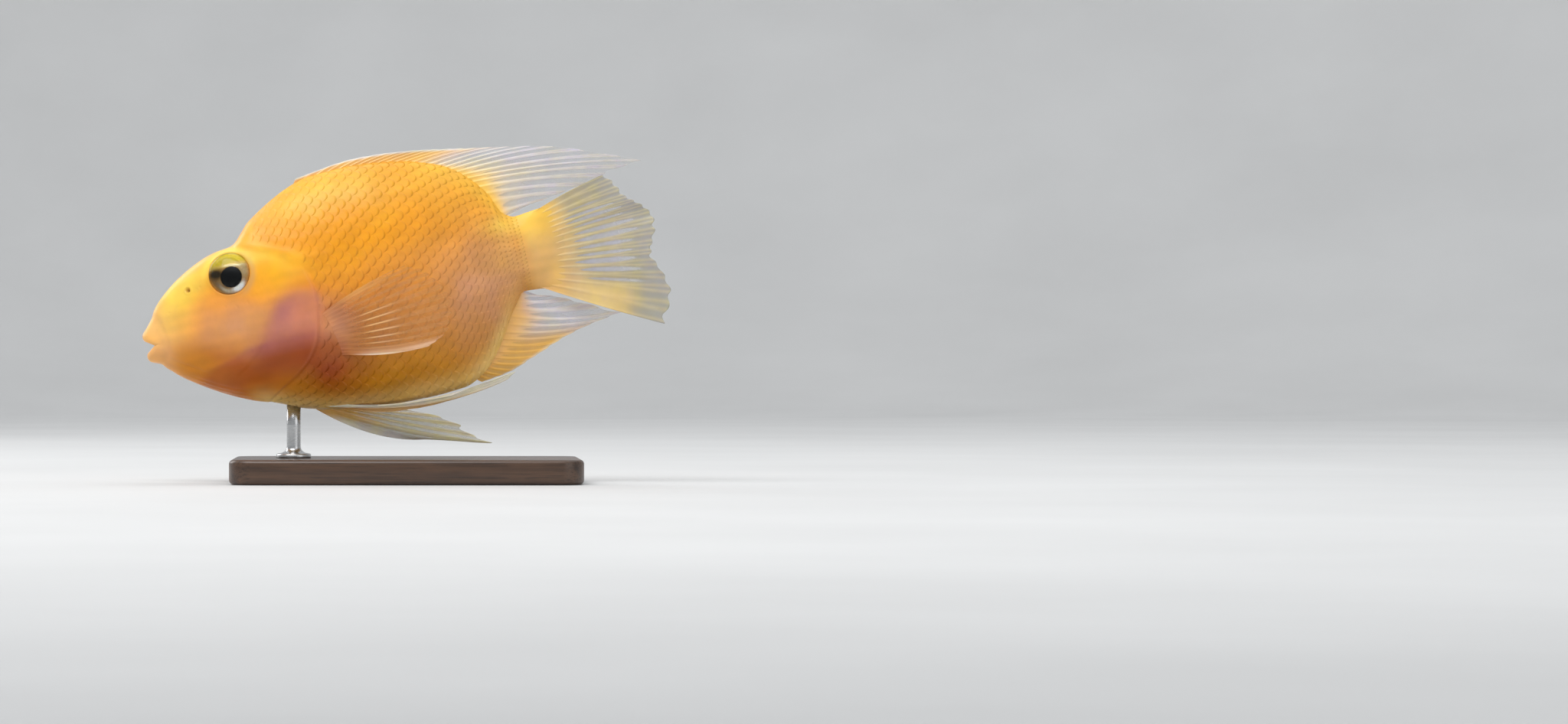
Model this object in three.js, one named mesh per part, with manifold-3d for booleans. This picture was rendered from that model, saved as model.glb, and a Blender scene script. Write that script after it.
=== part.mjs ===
// Blood parrot cichlid: a still, life-size model of the fish on a display stand.
// Millimetres, +Z up. The fish looks along -X, its left flank faces -Y, and the
// origin is the middle of the underside of the stand.
//
// The fish is shaped in its own frame and tipped nose-down as a whole. In that
// frame u runs from the tip of the snout towards the tail, v up across the body,
// and y towards the right flank. An outline is a row of [u, v] pairs.

import * as THREE from 'three';
import { mergeVertices } from 'three/addons/utils/BufferGeometryUtils.js';
import Module from 'manifold-3d';

const wasm = await Module();
wasm.setup();

// Driving sizes
const GAP = 0.3; // kept between neighbouring pieces
const PITCH = 12.5; // degrees that the tail stands above the snout
const SNOUT = { x: -98.3, z: 53.9 }; // tip of the upper lip over the stand
const BODY = { start: 1.4, end: 152.5, stations: 46, ringPoints: 40 };
const STEM_START = 138; // where the trunk passes into the tail stem
const TAIL_SWEEP = { from: 80, to: 195, side: -16, power: 2.4 }; // the tail swings to the left
const EYE = { u: 37.4, v: 15.4, y: 12.9, radius: 8.3, depth: 4.8, up: 0.25, forward: 0.15 };
const MOUTH = { u: 0, v: -4.0, reach: 4.8, opening: 1.9, halfWidth: 4.0 };
const LIP_RADIUS = 2.4;
const NOSTRIL = { u: 20.7, v: 13.2, radius: 1.0 };
const BASE = { length: 130, width: 80, height: 9, corner: 9, bevel: 1.2 };
const ROD = { x: -42, radius: 2.6, footRadius: 6.5, footHeight: 2.4 };

// Side outlines of the body, from above and below the lips to the end of the stem
const BACK = [
  [1.4, 1.4], [3.5, 5.0], [9.7, 12.5], [20.3, 19.9], [33, 25.0], [40.4, 26.1], [47.9, 33.2],
  [55, 38.0], [63.2, 42.3], [72.7, 45.0], [86.5, 45.8], [107.3, 43.4], [122, 38.5], [130, 33.0],
  [137, 24.4], [140.6, 16.2], [145, 13.9], [150.4, 14.5], [152.5, 13.4],
];
const BELLY = [
  [1.4, -9.6], [4.5, -11.6], [11.8, -18.1], [21.9, -25], [32.3, -30.5], [43.2, -34.6],
  [53.8, -39.1], [70.6, -42.8], [99.4, -45.0], [113, -44.2], [122, -39.8], [130.1, -30.9],
  [138, -18.9], [142.4, -13.9], [148.3, -14.3], [152.5, -13.2],
];
// Half of the width, and the level where a section is widest
const HALF_WIDTH = [
  [1.4, 2.8], [3, 4.2], [5, 5.6], [10, 8.6], [18, 12.2], [28, 15.2], [37, 17.2], [50, 19.2],
  [62, 20.5], [75, 20.6], [90, 19.2], [105, 16], [118, 12.3], [128, 9.2], [136, 7], [143, 5.2],
  [149, 3.4], [152.5, 1.4],
];
const WIDEST_LEVEL = [[1.4, -4.4], [12, -5], [35, -5], [75, -4], [110, -2], [140, 0], [153, 0]];
// A section is an ellipse at 1, squarer below 1 and more of a keel above 1
const UPPER_FULLNESS = [
  [0, 1], [15, 0.85], [30, 0.52], [40, 0.5], [55, 1.0], [90, 1.25], [125, 1.45], [153, 1.3],
];
const LOWER_FULLNESS = [[0, 1], [30, 1], [60, 0.95], [100, 1], [125, 1.25], [153, 1.3]];
// Hind margin of the head, from the throat up past the gill cover to the nape, as [v, u]
const HEAD_MARGIN = [
  [-34, 40.4], [-30.8, 45.4], [-26.2, 53.7], [-20.4, 60.3], [-13.9, 64.1], [-5.6, 65.9],
  [1.5, 66.6], [9, 65.4], [15.8, 60.6], [21.4, 51.2], [26.1, 40.4],
];

const point = (u, y, v) => new THREE.Vector3(u, y, v);
const radians = THREE.MathUtils.degToRad;
const smoothstep = THREE.MathUtils.smoothstep;

// A smooth line through [u, value] pairs that never overshoots them
function lineThrough(pairs) {
  const rises = pairs.slice(1).map((pair, i) => (pair[1] - pairs[i][1]) / (pair[0] - pairs[i][0]));
  const slopes = pairs.map((pair, i) => {
    const before = rises[Math.max(i - 1, 0)];
    const after = rises[Math.min(i, rises.length - 1)];
    return before * after > 0 ? (2 * before * after) / (before + after) : 0;
  });
  return (u) => {
    let i = 0;
    while (i < pairs.length - 2 && u > pairs[i + 1][0]) i += 1;
    const width = pairs[i + 1][0] - pairs[i][0];
    const t = THREE.MathUtils.clamp((u - pairs[i][0]) / width, 0, 1);
    const ease = t * t * (3 - 2 * t);
    const bulge = t * (1 - t) * width * ((1 - t) * slopes[i] - t * slopes[i + 1]);
    return pairs[i][1] * (1 - ease) + pairs[i + 1][1] * ease + bulge;
  };
}

// A smooth curve in the [u, v] plane, its points evenly spaced from s = 0 to s = 1
function curveThrough(pairs) {
  const curve = new THREE.SplineCurve(pairs.map(([u, v]) => new THREE.Vector2(u, v)));
  return (s) => curve.getPoint(s);
}

const back = lineThrough(BACK);
const belly = lineThrough(BELLY);
const halfWidth = lineThrough(HALF_WIDTH);
const widestLevel = lineThrough(WIDEST_LEVEL);
const upperFullness = lineThrough(UPPER_FULLNESS);
const lowerFullness = lineThrough(LOWER_FULLNESS);
const headMargin = lineThrough(HEAD_MARGIN);

// How far the middle of the fish stands to one side at u
function sweep(u) {
  const reach = Math.max(0, (u - TAIL_SWEEP.from) / (TAIL_SWEEP.to - TAIL_SWEEP.from));
  return TAIL_SWEEP.side * reach ** TAIL_SWEEP.power;
}

// Half of the body's width at [u, v]
function flank(u, v) {
  const level = widestLevel(u);
  const reach = v > level ? back(u) - level : level - belly(u);
  const rise = Math.min(1, Math.abs(v - level) / reach);
  const fullness = v > level ? upperFullness(u) : lowerFullness(u);
  return halfWidth(u) * Math.sqrt(1 - rise * rise) ** fullness;
}

// The trunk lies a little under the gill cover and swells a little over the nape
function trunkRelief(u, v) {
  const behind = Math.max(0, u - headMargin(v));
  const swell = 0.8 * Math.exp(-behind / 7) * smoothstep(v, 12, 18);
  const dip = 0.7 * Math.exp(-behind / 4) * (1 - smoothstep(v, 6, 12)) * smoothstep(v, -38, -30);
  return swell - dip;
}

// Geometry with its faces turned outwards
function closedGeometry(points, triangles) {
  const volume = triangles.reduce((sum, _, i) => {
    if (i % 3 !== 0) return sum;
    const [a, b, c] = [points[triangles[i]], points[triangles[i + 1]], points[triangles[i + 2]]];
    return sum + a.dot(b.clone().cross(c));
  }, 0);
  const geometry = new THREE.BufferGeometry().setFromPoints(points);
  geometry.setIndex(volume < 0 ? triangles.slice().reverse() : triangles);
  geometry.computeVertexNormals();
  return geometry;
}

// A closed skin over a row of rings, with a flat fan at each end
function loft(rings) {
  const count = rings[0].length;
  const last = rings.length - 1;
  const middles = [rings[0], rings[last]].map((ring) => (
    ring.reduce((sum, p) => sum.add(p), point(0, 0, 0)).divideScalar(count)
  ));
  const front = rings.length * count;
  const triangles = [];
  for (let i = 0; i < count; i += 1) {
    const next = (i + 1) % count;
    for (let r = 0; r < last; r += 1) {
      const [a, b] = [r * count + i, r * count + next];
      triangles.push(a, a + count, b, b, a + count, b + count);
    }
    triangles.push(front, i, next);
    triangles.push(front + 1, last * count + next, last * count + i);
  }
  return closedGeometry([...rings.flat(), ...middles], triangles);
}

// A closed round bar along a path, its radius a function of the way along it
function bar(path, radius, steps, sides) {
  const frames = path.computeFrenetFrames(steps, false);
  return loft(Array.from({ length: steps + 1 }, (_, i) => (
    Array.from({ length: sides }, (_side, k) => {
      const angle = (2 * Math.PI * k) / sides;
      return path.getPointAt(i / steps)
        .addScaledVector(frames.normals[i], radius(i / steps) * Math.cos(angle))
        .addScaledVector(frames.binormals[i], radius(i / steps) * Math.sin(angle));
    })
  )));
}

// One closed sheet over a grid of { place, half }, half being half of the thickness
function sheet(columns) {
  const rows = columns[0].length;
  const lastColumn = columns.length - 1;
  const at = (c, r) => (
    columns[THREE.MathUtils.clamp(c, 0, lastColumn)][THREE.MathUtils.clamp(r, 0, rows - 1)].place
  );
  const faces = [1, -1].map((side) => columns.map((column, c) => column.map(({ place, half }, r) => {
    const across = at(c + 1, r).clone().sub(at(c - 1, r));
    const along = at(c, r + 1).clone().sub(at(c, r - 1));
    return place.clone().addScaledVector(across.cross(along).normalize(), side * half);
  })));
  const other = columns.length * rows;
  const index = (c, r) => c * rows + r;
  const triangles = [];
  for (let c = 0; c < lastColumn; c += 1) {
    for (let r = 0; r < rows - 1; r += 1) {
      const corners = [index(c, r), index(c + 1, r), index(c + 1, r + 1), index(c, r + 1)];
      [[0, 1, 2], [0, 2, 3]].forEach(([a, b, d]) => {
        triangles.push(corners[a], corners[b], corners[d]);
        triangles.push(corners[a] + other, corners[d] + other, corners[b] + other);
      });
    }
  }
  const rim = [];
  for (let c = 0; c < lastColumn; c += 1) rim.push(index(c, 0));
  for (let r = 0; r < rows - 1; r += 1) rim.push(index(lastColumn, r));
  for (let c = lastColumn; c > 0; c -= 1) rim.push(index(c, rows - 1));
  for (let r = rows - 1; r > 0; r -= 1) rim.push(index(0, r));
  rim.forEach((from, i) => {
    const to = rim[(i + 1) % rim.length];
    triangles.push(to, from, from + other, to, from + other, to + other);
  });
  return closedGeometry(faces.flat(2), triangles);
}

// A closed mesh as a solid that can be joined and cut
function toSolid(geometry) {
  const bare = new THREE.BufferGeometry();
  bare.setAttribute('position', geometry.getAttribute('position'));
  bare.setIndex(geometry.getIndex());
  const merged = mergeVertices(bare, 1e-4);
  const index = Array.from(merged.getIndex().array);
  const triangles = [];
  for (let i = 0; i < index.length; i += 3) {
    const corners = index.slice(i, i + 3);
    if (new Set(corners).size === 3) triangles.push(...corners);
  }
  return new wasm.Manifold(new wasm.Mesh({
    numProp: 3,
    vertProperties: new Float32Array(merged.getAttribute('position').array),
    triVerts: new Uint32Array(triangles),
  }));
}

// The largest closed surface of a solid, as a named mesh
function meshOf(name, solid, material) {
  const largest = solid.decompose().sort((a, b) => b.volume() - a.volume())[0];
  const { vertProperties, triVerts } = largest.getMesh();
  const geometry = new THREE.BufferGeometry();
  geometry.setAttribute('position', new THREE.BufferAttribute(Float32Array.from(vertProperties), 3));
  geometry.setIndex(new THREE.BufferAttribute(Uint32Array.from(triVerts), 1));
  geometry.computeVertexNormals();
  const mesh = new THREE.Mesh(geometry, material);
  mesh.name = name;
  return mesh;
}

// Body skin, closer stations at both ends, moved outwards by grow
function bodyGeometry(relief, grow = 0) {
  const rings = Array.from({ length: BODY.stations + 1 }, (_, station) => {
    const t = station / BODY.stations;
    const eased = t - 0.08 * Math.sin(2 * Math.PI * t);
    const u = BODY.start + (BODY.end - BODY.start) * eased;
    const level = widestLevel(u);
    return Array.from({ length: BODY.ringPoints }, (_ring, i) => {
      const angle = (2 * Math.PI * i) / BODY.ringPoints;
      const height = -Math.cos(angle);
      const v = level + height * (height > 0 ? back(u) - level : level - belly(u));
      const lift = relief(u, v) * Math.abs(Math.sin(angle));
      return point(u, sweep(u) + Math.sign(Math.sin(angle)) * (flank(u, v) + lift), v);
    });
  });
  const geometry = loft(rings);
  const places = geometry.getAttribute('position');
  const normals = geometry.getAttribute('normal');
  for (let i = 0; i < places.count; i += 1) {
    const moved = point().fromBufferAttribute(places, i)
      .addScaledVector(point().fromBufferAttribute(normals, i), grow);
    places.setXYZ(i, moved.x, moved.y, moved.z);
  }
  return geometry;
}

// A prism across the whole fish over an outline in the [u, v] plane
function prism(pairs) {
  const reach = 60;
  const shape = new THREE.Shape(pairs.map(([u, v]) => new THREE.Vector2(u, v)));
  const geometry = new THREE.ExtrudeGeometry(shape, { depth: 2 * reach, bevelEnabled: false });
  return toSolid(geometry.translate(0, 0, -reach).rotateX(Math.PI / 2));
}

// The head's hind margin from throat to nape, set to one side of the true line
function marginLine(offset) {
  const steps = 24;
  const [low, high] = [HEAD_MARGIN[0][0], HEAD_MARGIN[HEAD_MARGIN.length - 1][0]];
  return Array.from({ length: steps + 1 }, (_, i) => {
    const v = low + ((high - low) * i) / steps;
    const slope = headMargin(v + 0.1) - headMargin(v - 0.1);
    const tangent = new THREE.Vector2(slope, 0.2).normalize();
    return [headMargin(v) + offset * tangent.y, v - offset * tangent.x];
  });
}

function headRegion() {
  const line = marginLine(-GAP / 2);
  const [throat, nape] = [line[0], line[line.length - 1]];
  return prism([[-30, -90], [throat[0], -90], ...line, [nape[0], 90], [-30, 90]]);
}

function trunkRegion() {
  const line = marginLine(GAP / 2);
  const [throat, nape] = [line[0], line[line.length - 1]];
  const end = STEM_START - GAP / 2;
  return prism([[throat[0], -90], [end, -90], [end, 90], [nape[0], 90], ...line.reverse()]);
}

function stemRegion() {
  const start = STEM_START + GAP / 2;
  return prism([[start, -90], [230, -90], [230, 90], [start, 90]]);
}

// Where an eye sits, its own z axis looking out of the head
function eyePlace(side) {
  const outward = point(-EYE.forward, side, EYE.up).normalize();
  const turn = new THREE.Quaternion().setFromUnitVectors(point(0, 0, 1), outward);
  return new THREE.Matrix4().compose(point(EYE.u, side * EYE.y, EYE.v), turn, point(1, 1, 1));
}

function eyeGeometry(side, grow = 0) {
  const ball = new THREE.SphereGeometry(1, 20, 12);
  ball.scale(EYE.radius + grow, EYE.radius + grow, EYE.depth + grow);
  return ball.applyMatrix4(eyePlace(side));
}

// The raised rim of flesh that an eye sits in
function orbitGeometry(side) {
  const rim = [[0, -7], [8.6, -5], [9.9, -1], [9.9, 1.0], [9.2, 2.1], [8.2, 2.2], [0, 1.6]];
  const ring = new THREE.LatheGeometry(rim.map(([r, h]) => new THREE.Vector2(r, h)), 26);
  return ring.rotateX(Math.PI / 2).applyMatrix4(eyePlace(side));
}

// One lip, from corner to corner of the mouth round its middle point
function lipGeometry(corner, quarter, middle) {
  const path = new THREE.CatmullRomCurve3([
    point(corner[0], -5.0, corner[1]), point(quarter[0], -3.5, quarter[1]),
    point(middle[0], 0, middle[1]),
    point(quarter[0], 3.5, quarter[1]), point(corner[0], 5.0, corner[1]),
  ]);
  return bar(path, (t) => LIP_RADIUS * (0.62 + 0.38 * Math.sin(Math.PI * t)), 12, 10);
}

function headSolid() {
  const mouth = new THREE.SphereGeometry(1, 18, 12)
    .scale(MOUTH.reach, MOUTH.halfWidth, MOUTH.opening)
    .translate(MOUTH.u, 0, MOUTH.v);
  let head = toSolid(bodyGeometry(() => 0)).subtract(toSolid(mouth));
  head = head.add(toSolid(lipGeometry([5.8, -3.6], [3.5, -1.5], [2.5, -0.4])));
  head = head.add(toSolid(lipGeometry([5.8, -4.4], [3.6, -6.5], [2.7, -7.6])));
  [-1, 1].forEach((side) => {
    const nostril = new THREE.SphereGeometry(NOSTRIL.radius, 10, 8)
      .translate(NOSTRIL.u, side * flank(NOSTRIL.u, NOSTRIL.v), NOSTRIL.v);
    head = head.add(toSolid(orbitGeometry(side)))
      .subtract(toSolid(eyeGeometry(side, GAP)))
      .subtract(toSolid(nostril));
  });
  return head.intersect(headRegion());
}

// Columns of a fin from root to edge, a ray and then the skin between two rays.
// s runs from the first ray to the last, t from the root to the tip. bow is how
// far a ray arches, as a share of its length, and side is where it lies in y.
function finColumns({ rays, rows, root, tip, bow, side, ridge, skin, reach, flesh }) {
  const last = 2 * (rays - 1);
  return Array.from({ length: last + 1 }, (_, c) => {
    const s = c / last;
    const isRay = c % 2 === 0;
    const [start, end] = [root(s), tip(s)];
    const bend = start.clone().lerp(end, 0.5);
    bend.y += bow(s) * start.distanceTo(end);
    const path = new THREE.QuadraticBezierCurve(start, bend, end);
    return Array.from({ length: rows + 1 }, (_row, r) => {
      const t = (r / rows) * (isRay ? 1 : reach);
      const { x: u, y: v } = path.getPoint(t);
      const half = (isRay ? ridge : skin) * (1 - 0.45 * t ** 3) + flesh * Math.exp(-9 * t);
      return { place: point(u, side(s, t, u, v), v), half };
    });
  });
}

const dorsalUpperEdge = curveThrough([
  [68.5, 45.4], [86.5, 47.8], [99.6, 47.7], [111, 46.5], [122, 44.8], [133.7, 42.6],
  [148, 40.0], [168.5, 35.2], [195.7, 24.3],
]);
const dorsalHindEdge = curveThrough([[195.7, 24.3], [184.5, 22.7], [172, 20.1], [161.2, 18.2], [150, 17]]);
const dorsalBase = curveThrough([[65, 0], [83.4, 0], [101.8, 0], [119.3, 0], [130.5, 0], [140.6, 0]]);

// 16 low, folded spines and then 11 soft rays, drawn out to a point behind the body
function dorsalFin() {
  const longest = 20 / 26;
  return sheet(finColumns({
    rays: 27,
    rows: 6,
    root: (s) => {
      const u = dorsalBase(s).x;
      return new THREE.Vector2(u, back(u) - 2.5);
    },
    tip: (s) => (
      s < longest ? dorsalUpperEdge(s / longest) : dorsalHindEdge((s - longest) / (1 - longest))
    ),
    bow: () => 0.06,
    side: (s, t) => sweep(dorsalBase(s).x) + 2.2 * s * t + 0.5 * t * t * Math.sin(17 * s),
    ridge: 0.46,
    skin: 0.27,
    reach: 0.965,
    flesh: 0.5,
  }));
}

const tailEdge = curveThrough([
  [179.7, 21.8], [184, 17.4], [186.6, 12.3], [190.6, 9.2], [193.8, 5.2], [194.8, -0.5],
  [192.3, -6.7], [191.7, -11.7], [194.2, -19.4], [195.1, -28], [190.5, -37.3],
]);

// 16 rays fanned from the stem, the hind edge rippled and folded above its middle
function caudalFin() {
  return sheet(finColumns({
    rays: 16,
    rows: 8,
    root: (s) => new THREE.Vector2(148, 12.4 - 24.8 * s),
    tip: tailEdge,
    bow: (s) => 0.05 * (1 - s),
    side: (s, t, u) => {
      const ripple = 0.7 * Math.sin(15 * s + 1) * t * t;
      const fold = 2.0 * Math.exp(-(((s - 0.4) / 0.08) ** 2)) * t ** 4;
      return sweep(u) + ripple + fold;
    },
    ridge: 0.46,
    skin: 0.27,
    reach: 0.975,
    flesh: 0.6,
  }));
}

const analLowerEdge = curveThrough([
  [120, -43.6], [131, -42.0], [143.5, -37.6], [158, -32.6], [176.2, -29.4],
]);
const analHindEdge = curveThrough([[176.2, -29.4], [163, -23.4], [153, -18.9], [146.5, -17.0]]);

// 7 spines and 9 soft rays along the hind belly
function analFin() {
  const longest = 11 / 15;
  return sheet(finColumns({
    rays: 16,
    rows: 6,
    root: (s) => {
      const u = THREE.MathUtils.lerp(116.5, 141.2, s);
      return new THREE.Vector2(u, belly(u) + 2.4);
    },
    tip: (s) => (
      s < longest ? analLowerEdge(s / longest) : analHindEdge((s - longest) / (1 - longest))
    ),
    bow: () => -0.09,
    side: (s, t) => sweep(116.5 + 24.7 * s) + 1.8 * s * t + 0.5 * t * t * Math.sin(13 * s),
    ridge: 0.46,
    skin: 0.27,
    reach: 0.965,
    flesh: 0.5,
  }));
}

const pectoralRoot = curveThrough([[67.9, -6.0], [69.3, -12.5], [69.8, -19.5]]);
const pectoralEdge = curveThrough([
  [101, 4.5], [110.5, -0.6], [114.6, -10.8], [112.4, -20.2], [106.7, -25.7], [98.2, -25.8], [86, -24.7],
]);

// A fan of 14 rays behind the gill cover, held away from the flank
function pectoralFin(sideSign, spread) {
  return sheet(finColumns({
    rays: 14,
    rows: 6,
    root: pectoralRoot,
    tip: pectoralEdge,
    bow: (s) => 0.07 - 0.1 * s,
    side: (s, t) => {
      const { x: u, y: v } = pectoralRoot(s);
      const lift = 3.2 * (1 - Math.exp(-7 * t)) + spread * t + 0.5 * t * t * Math.sin(14 * s);
      return sideSign * (flank(u, v) - 1.6 + lift);
    },
    ridge: 0.44,
    skin: 0.27,
    reach: 0.97,
    flesh: 0.7,
  }));
}

const hangingPelvicRoot = curveThrough([[55, -37.9], [60.2, -39.0], [65.5, -40.3]]);
const foldedPelvicRoot = curveThrough([[60, -38.6], [63.5, -39.6], [66.5, -40.6]]);
const foldedPelvicEdge = curveThrough([
  [107.8, -46], [132.6, -42.2], [130, -44.4], [122, -45.6], [110, -46.9], [94, -47.3],
]);
const hangingPelvicEdge = curveThrough([
  [97.9, -60.2], [119, -66.9], [113, -62.6], [108.5, -57.5], [101, -52.4], [90.6, -47.8],
]);

// The left pelvic fin, a spine and 5 rays folded back along the belly
function foldedPelvicFin() {
  return sheet(finColumns({
    rays: 6,
    rows: 10,
    root: foldedPelvicRoot,
    tip: foldedPelvicEdge,
    bow: (s) => -0.15 * Math.min(1, 5 * s),
    side: (s, t) => -4.6 - 4.4 * (1 - s) * Math.sqrt(t) - 1.4 * s * t,
    ridge: 0.5,
    skin: 0.27,
    reach: 0.97,
    flesh: 0.6,
  }));
}

// The right pelvic fin, hanging below the belly with its first ray drawn out
function hangingPelvicFin() {
  return sheet(finColumns({
    rays: 6,
    rows: 9,
    root: hangingPelvicRoot,
    tip: hangingPelvicEdge,
    bow: (s) => -0.03 - 0.21 * (1 - s) ** 2,
    side: (s, t) => 4.6 + 8.5 * t - 2.5 * s * t,
    ridge: 0.5,
    skin: 0.27,
    reach: 0.96,
    flesh: 0.6,
  }));
}

// A flat plate with rounded corners and a small bevel round both faces
function baseSolid() {
  const { length, width, height, corner, bevel } = BASE;
  const [x, y] = [length / 2 - bevel, width / 2 - bevel];
  const shape = new THREE.Shape();
  shape.absarc(x - corner, y - corner, corner, 0, radians(90));
  shape.absarc(corner - x, y - corner, corner, radians(90), radians(180));
  shape.absarc(corner - x, corner - y, corner, radians(180), radians(270));
  shape.absarc(x - corner, corner - y, corner, radians(270), radians(360));
  const plate = new THREE.ExtrudeGeometry(shape, {
    depth: height - 2 * bevel,
    bevelThickness: bevel,
    bevelSize: bevel,
    bevelSegments: 1,
    curveSegments: 5,
  });
  return toSolid(plate.translate(0, 0, bevel));
}

// A round rod with a flared foot, up into the belly and cut to its surface
function rodSolid(grownBody) {
  const { x, radius, footRadius, footHeight } = ROD;
  const bottom = BASE.height + GAP;
  const profile = [
    [0, 0], [footRadius, 0], [footRadius, footHeight * 0.5], [radius + 1.2, footHeight],
    [radius, footHeight + 1.4], [radius, 30], [0, 30],
  ];
  const rod = new THREE.LatheGeometry(profile.map(([r, h]) => new THREE.Vector2(r, h)), 20);
  return toSolid(rod.rotateX(Math.PI / 2).translate(x, 0, bottom)).subtract(grownBody);
}

const finish = (color, roughness, metalness = 0) => (
  new THREE.MeshStandardMaterial({ color, roughness, metalness })
);
const headSkin = finish(0xf3b443, 0.45);
const trunkSkin = finish(0xee9a35, 0.45);
const stemSkin = finish(0xf2b24a, 0.45);
const finSkin = finish(0xe9d7a0, 0.4);
const eyeGloss = finish(0x20201c, 0.08);
const darkWood = finish(0x4a3020, 0.45);
const steel = finish(0xb9bbbd, 0.3, 1);

const fish = new THREE.Group();
fish.position.set(SNOUT.x, 0, SNOUT.z);
fish.rotation.y = -radians(PITCH);
fish.updateMatrix();

const trunkBody = toSolid(bodyGeometry(trunkRelief));
const cutter = bodyGeometry(trunkRelief, GAP);
const clearOfBody = toSolid(cutter);

fish.add(meshOf('head', headSolid(), headSkin));
fish.add(meshOf('trunk', trunkBody.intersect(trunkRegion()), trunkSkin));
fish.add(meshOf('tail_stem', trunkBody.intersect(stemRegion()), stemSkin));
fish.add(meshOf('eye_left', toSolid(eyeGeometry(-1)), eyeGloss));
fish.add(meshOf('eye_right', toSolid(eyeGeometry(1)), eyeGloss));

const fins = {
  dorsal_fin: dorsalFin(),
  caudal_fin: caudalFin(),
  anal_fin: analFin(),
  pectoral_fin_left: pectoralFin(-1, 9),
  pectoral_fin_right: pectoralFin(1, 13),
  pelvic_fin_left: foldedPelvicFin(),
  pelvic_fin_right: hangingPelvicFin(),
};
Object.entries(fins).forEach(([name, geometry]) => {
  fish.add(meshOf(name, toSolid(geometry).subtract(clearOfBody), finSkin));
});

const model = new THREE.Group();
model.name = 'blood_parrot_cichlid';
model.add(fish);
model.add(meshOf('stand_base', baseSolid(), darkWood));
model.add(meshOf('stand_rod', rodSolid(toSolid(cutter.applyMatrix4(fish.matrix))), steel));

export default model;
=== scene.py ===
# Blood parrot cichlid: the looks of the still model on its display stand.
#
# The scene is in metres. The fish is shaped in its own frame, in millimetres, and
# tipped nose-down as a whole: u runs from the tip of the snout towards the tail,
# y towards the right flank and v up across the body. Colours are sRGB triples.

import math
from types import SimpleNamespace as Named

import bmesh
import bpy
import numpy as np
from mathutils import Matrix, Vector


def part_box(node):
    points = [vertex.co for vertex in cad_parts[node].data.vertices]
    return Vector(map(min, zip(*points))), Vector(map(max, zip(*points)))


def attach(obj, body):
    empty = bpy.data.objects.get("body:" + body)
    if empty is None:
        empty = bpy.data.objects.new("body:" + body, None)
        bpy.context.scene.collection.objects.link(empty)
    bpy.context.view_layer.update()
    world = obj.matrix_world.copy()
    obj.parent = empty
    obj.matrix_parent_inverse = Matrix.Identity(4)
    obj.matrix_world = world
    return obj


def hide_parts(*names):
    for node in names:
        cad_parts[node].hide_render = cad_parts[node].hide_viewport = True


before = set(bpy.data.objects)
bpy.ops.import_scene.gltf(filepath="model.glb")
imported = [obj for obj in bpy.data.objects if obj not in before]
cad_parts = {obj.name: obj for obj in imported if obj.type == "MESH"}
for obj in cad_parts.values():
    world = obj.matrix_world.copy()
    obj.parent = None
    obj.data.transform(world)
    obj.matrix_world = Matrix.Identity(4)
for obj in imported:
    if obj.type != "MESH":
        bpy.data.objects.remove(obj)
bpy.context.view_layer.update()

# Driving sizes, in millimetres
MM = 0.001
WELD = 2e-7  # points of one piece that lie closer than this, in metres, become one
PITCH = math.radians(12.5)  # how far the tail stands above the snout
SNOUT = (-98.3, 53.9)  # x and z of the tip of the upper lip
BODY_END = 161  # where the skin of the stem has thinned out over the tail fin
TAIL_SWEEP = Named(start=80, end=195, side=-16, power=2.4)
EYE = Named(u=37.4, v=15.4, y=12.9, radius=8.3, depth=4.8, up=0.25, forward=0.15)
EYEBALL = Named(radius=8.2, depth=4.6, iris_level=3.1, lens=0.75)
CORNEA_THICKNESS = 0.16
PUPIL = Named(a=0.7, b=-1.8, radius=4.0)
MOUTH = Named(level=-4.0, half_width=5.0, opening=2.5, lip=2.45, throat=11.5)
NOSTRIL = Named(u=20.7, v=13.2, radius=0.7, rim=0.22, depth=1.3)
EYE_RIM = Named(radius=8.2, height=1.7, sunk=1.2)
# How far each form stands out from the plain body or cuts into it
RELIEF = Named(
    gill_cover=0.36, gill_groove=0.2, nape=0.7, cheek=0.22, under_eye=0.5, pectoral_foot=0.35, jaw_fold=0.3,
    throat_fold=0.13, pore=0.22, lip_groove=0.42, lip_swell=0.22, uneven=0.16, furrows=0.05,
)
BOARD = Named(corner=9.0, edge=1.6)
ROD = Named(x=-42, radius=2.6, foot_radius=6.5, foot_height=2.4)
SKIN_ROWS, SKIN_COLUMNS = 362, 252
FIN_ROWS = 72
SCALE = Named(
    rows=44, lift=0.026, dip=0.08, tuck=0.06, under=0.15, dive=0.5,
    overlap=0.85, reach=1.25, bulge=1.0, half_height=0.52, tint=0.015, spacing=1.15, growth=0.018,
)
SCALES_FROM, SCALES_TO = 36, 150.5  # u of the foremost scales on the throat and the last on the stem

# The photograph's frame: its size in pixels, the pixel of the scene's origin and the scale
FRAME_PIXELS = (2048, 946)
ORIGIN_PIXEL = (531, 630)
MM_PER_PIXEL = 0.285
CAMERA_DISTANCE = 1800

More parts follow.
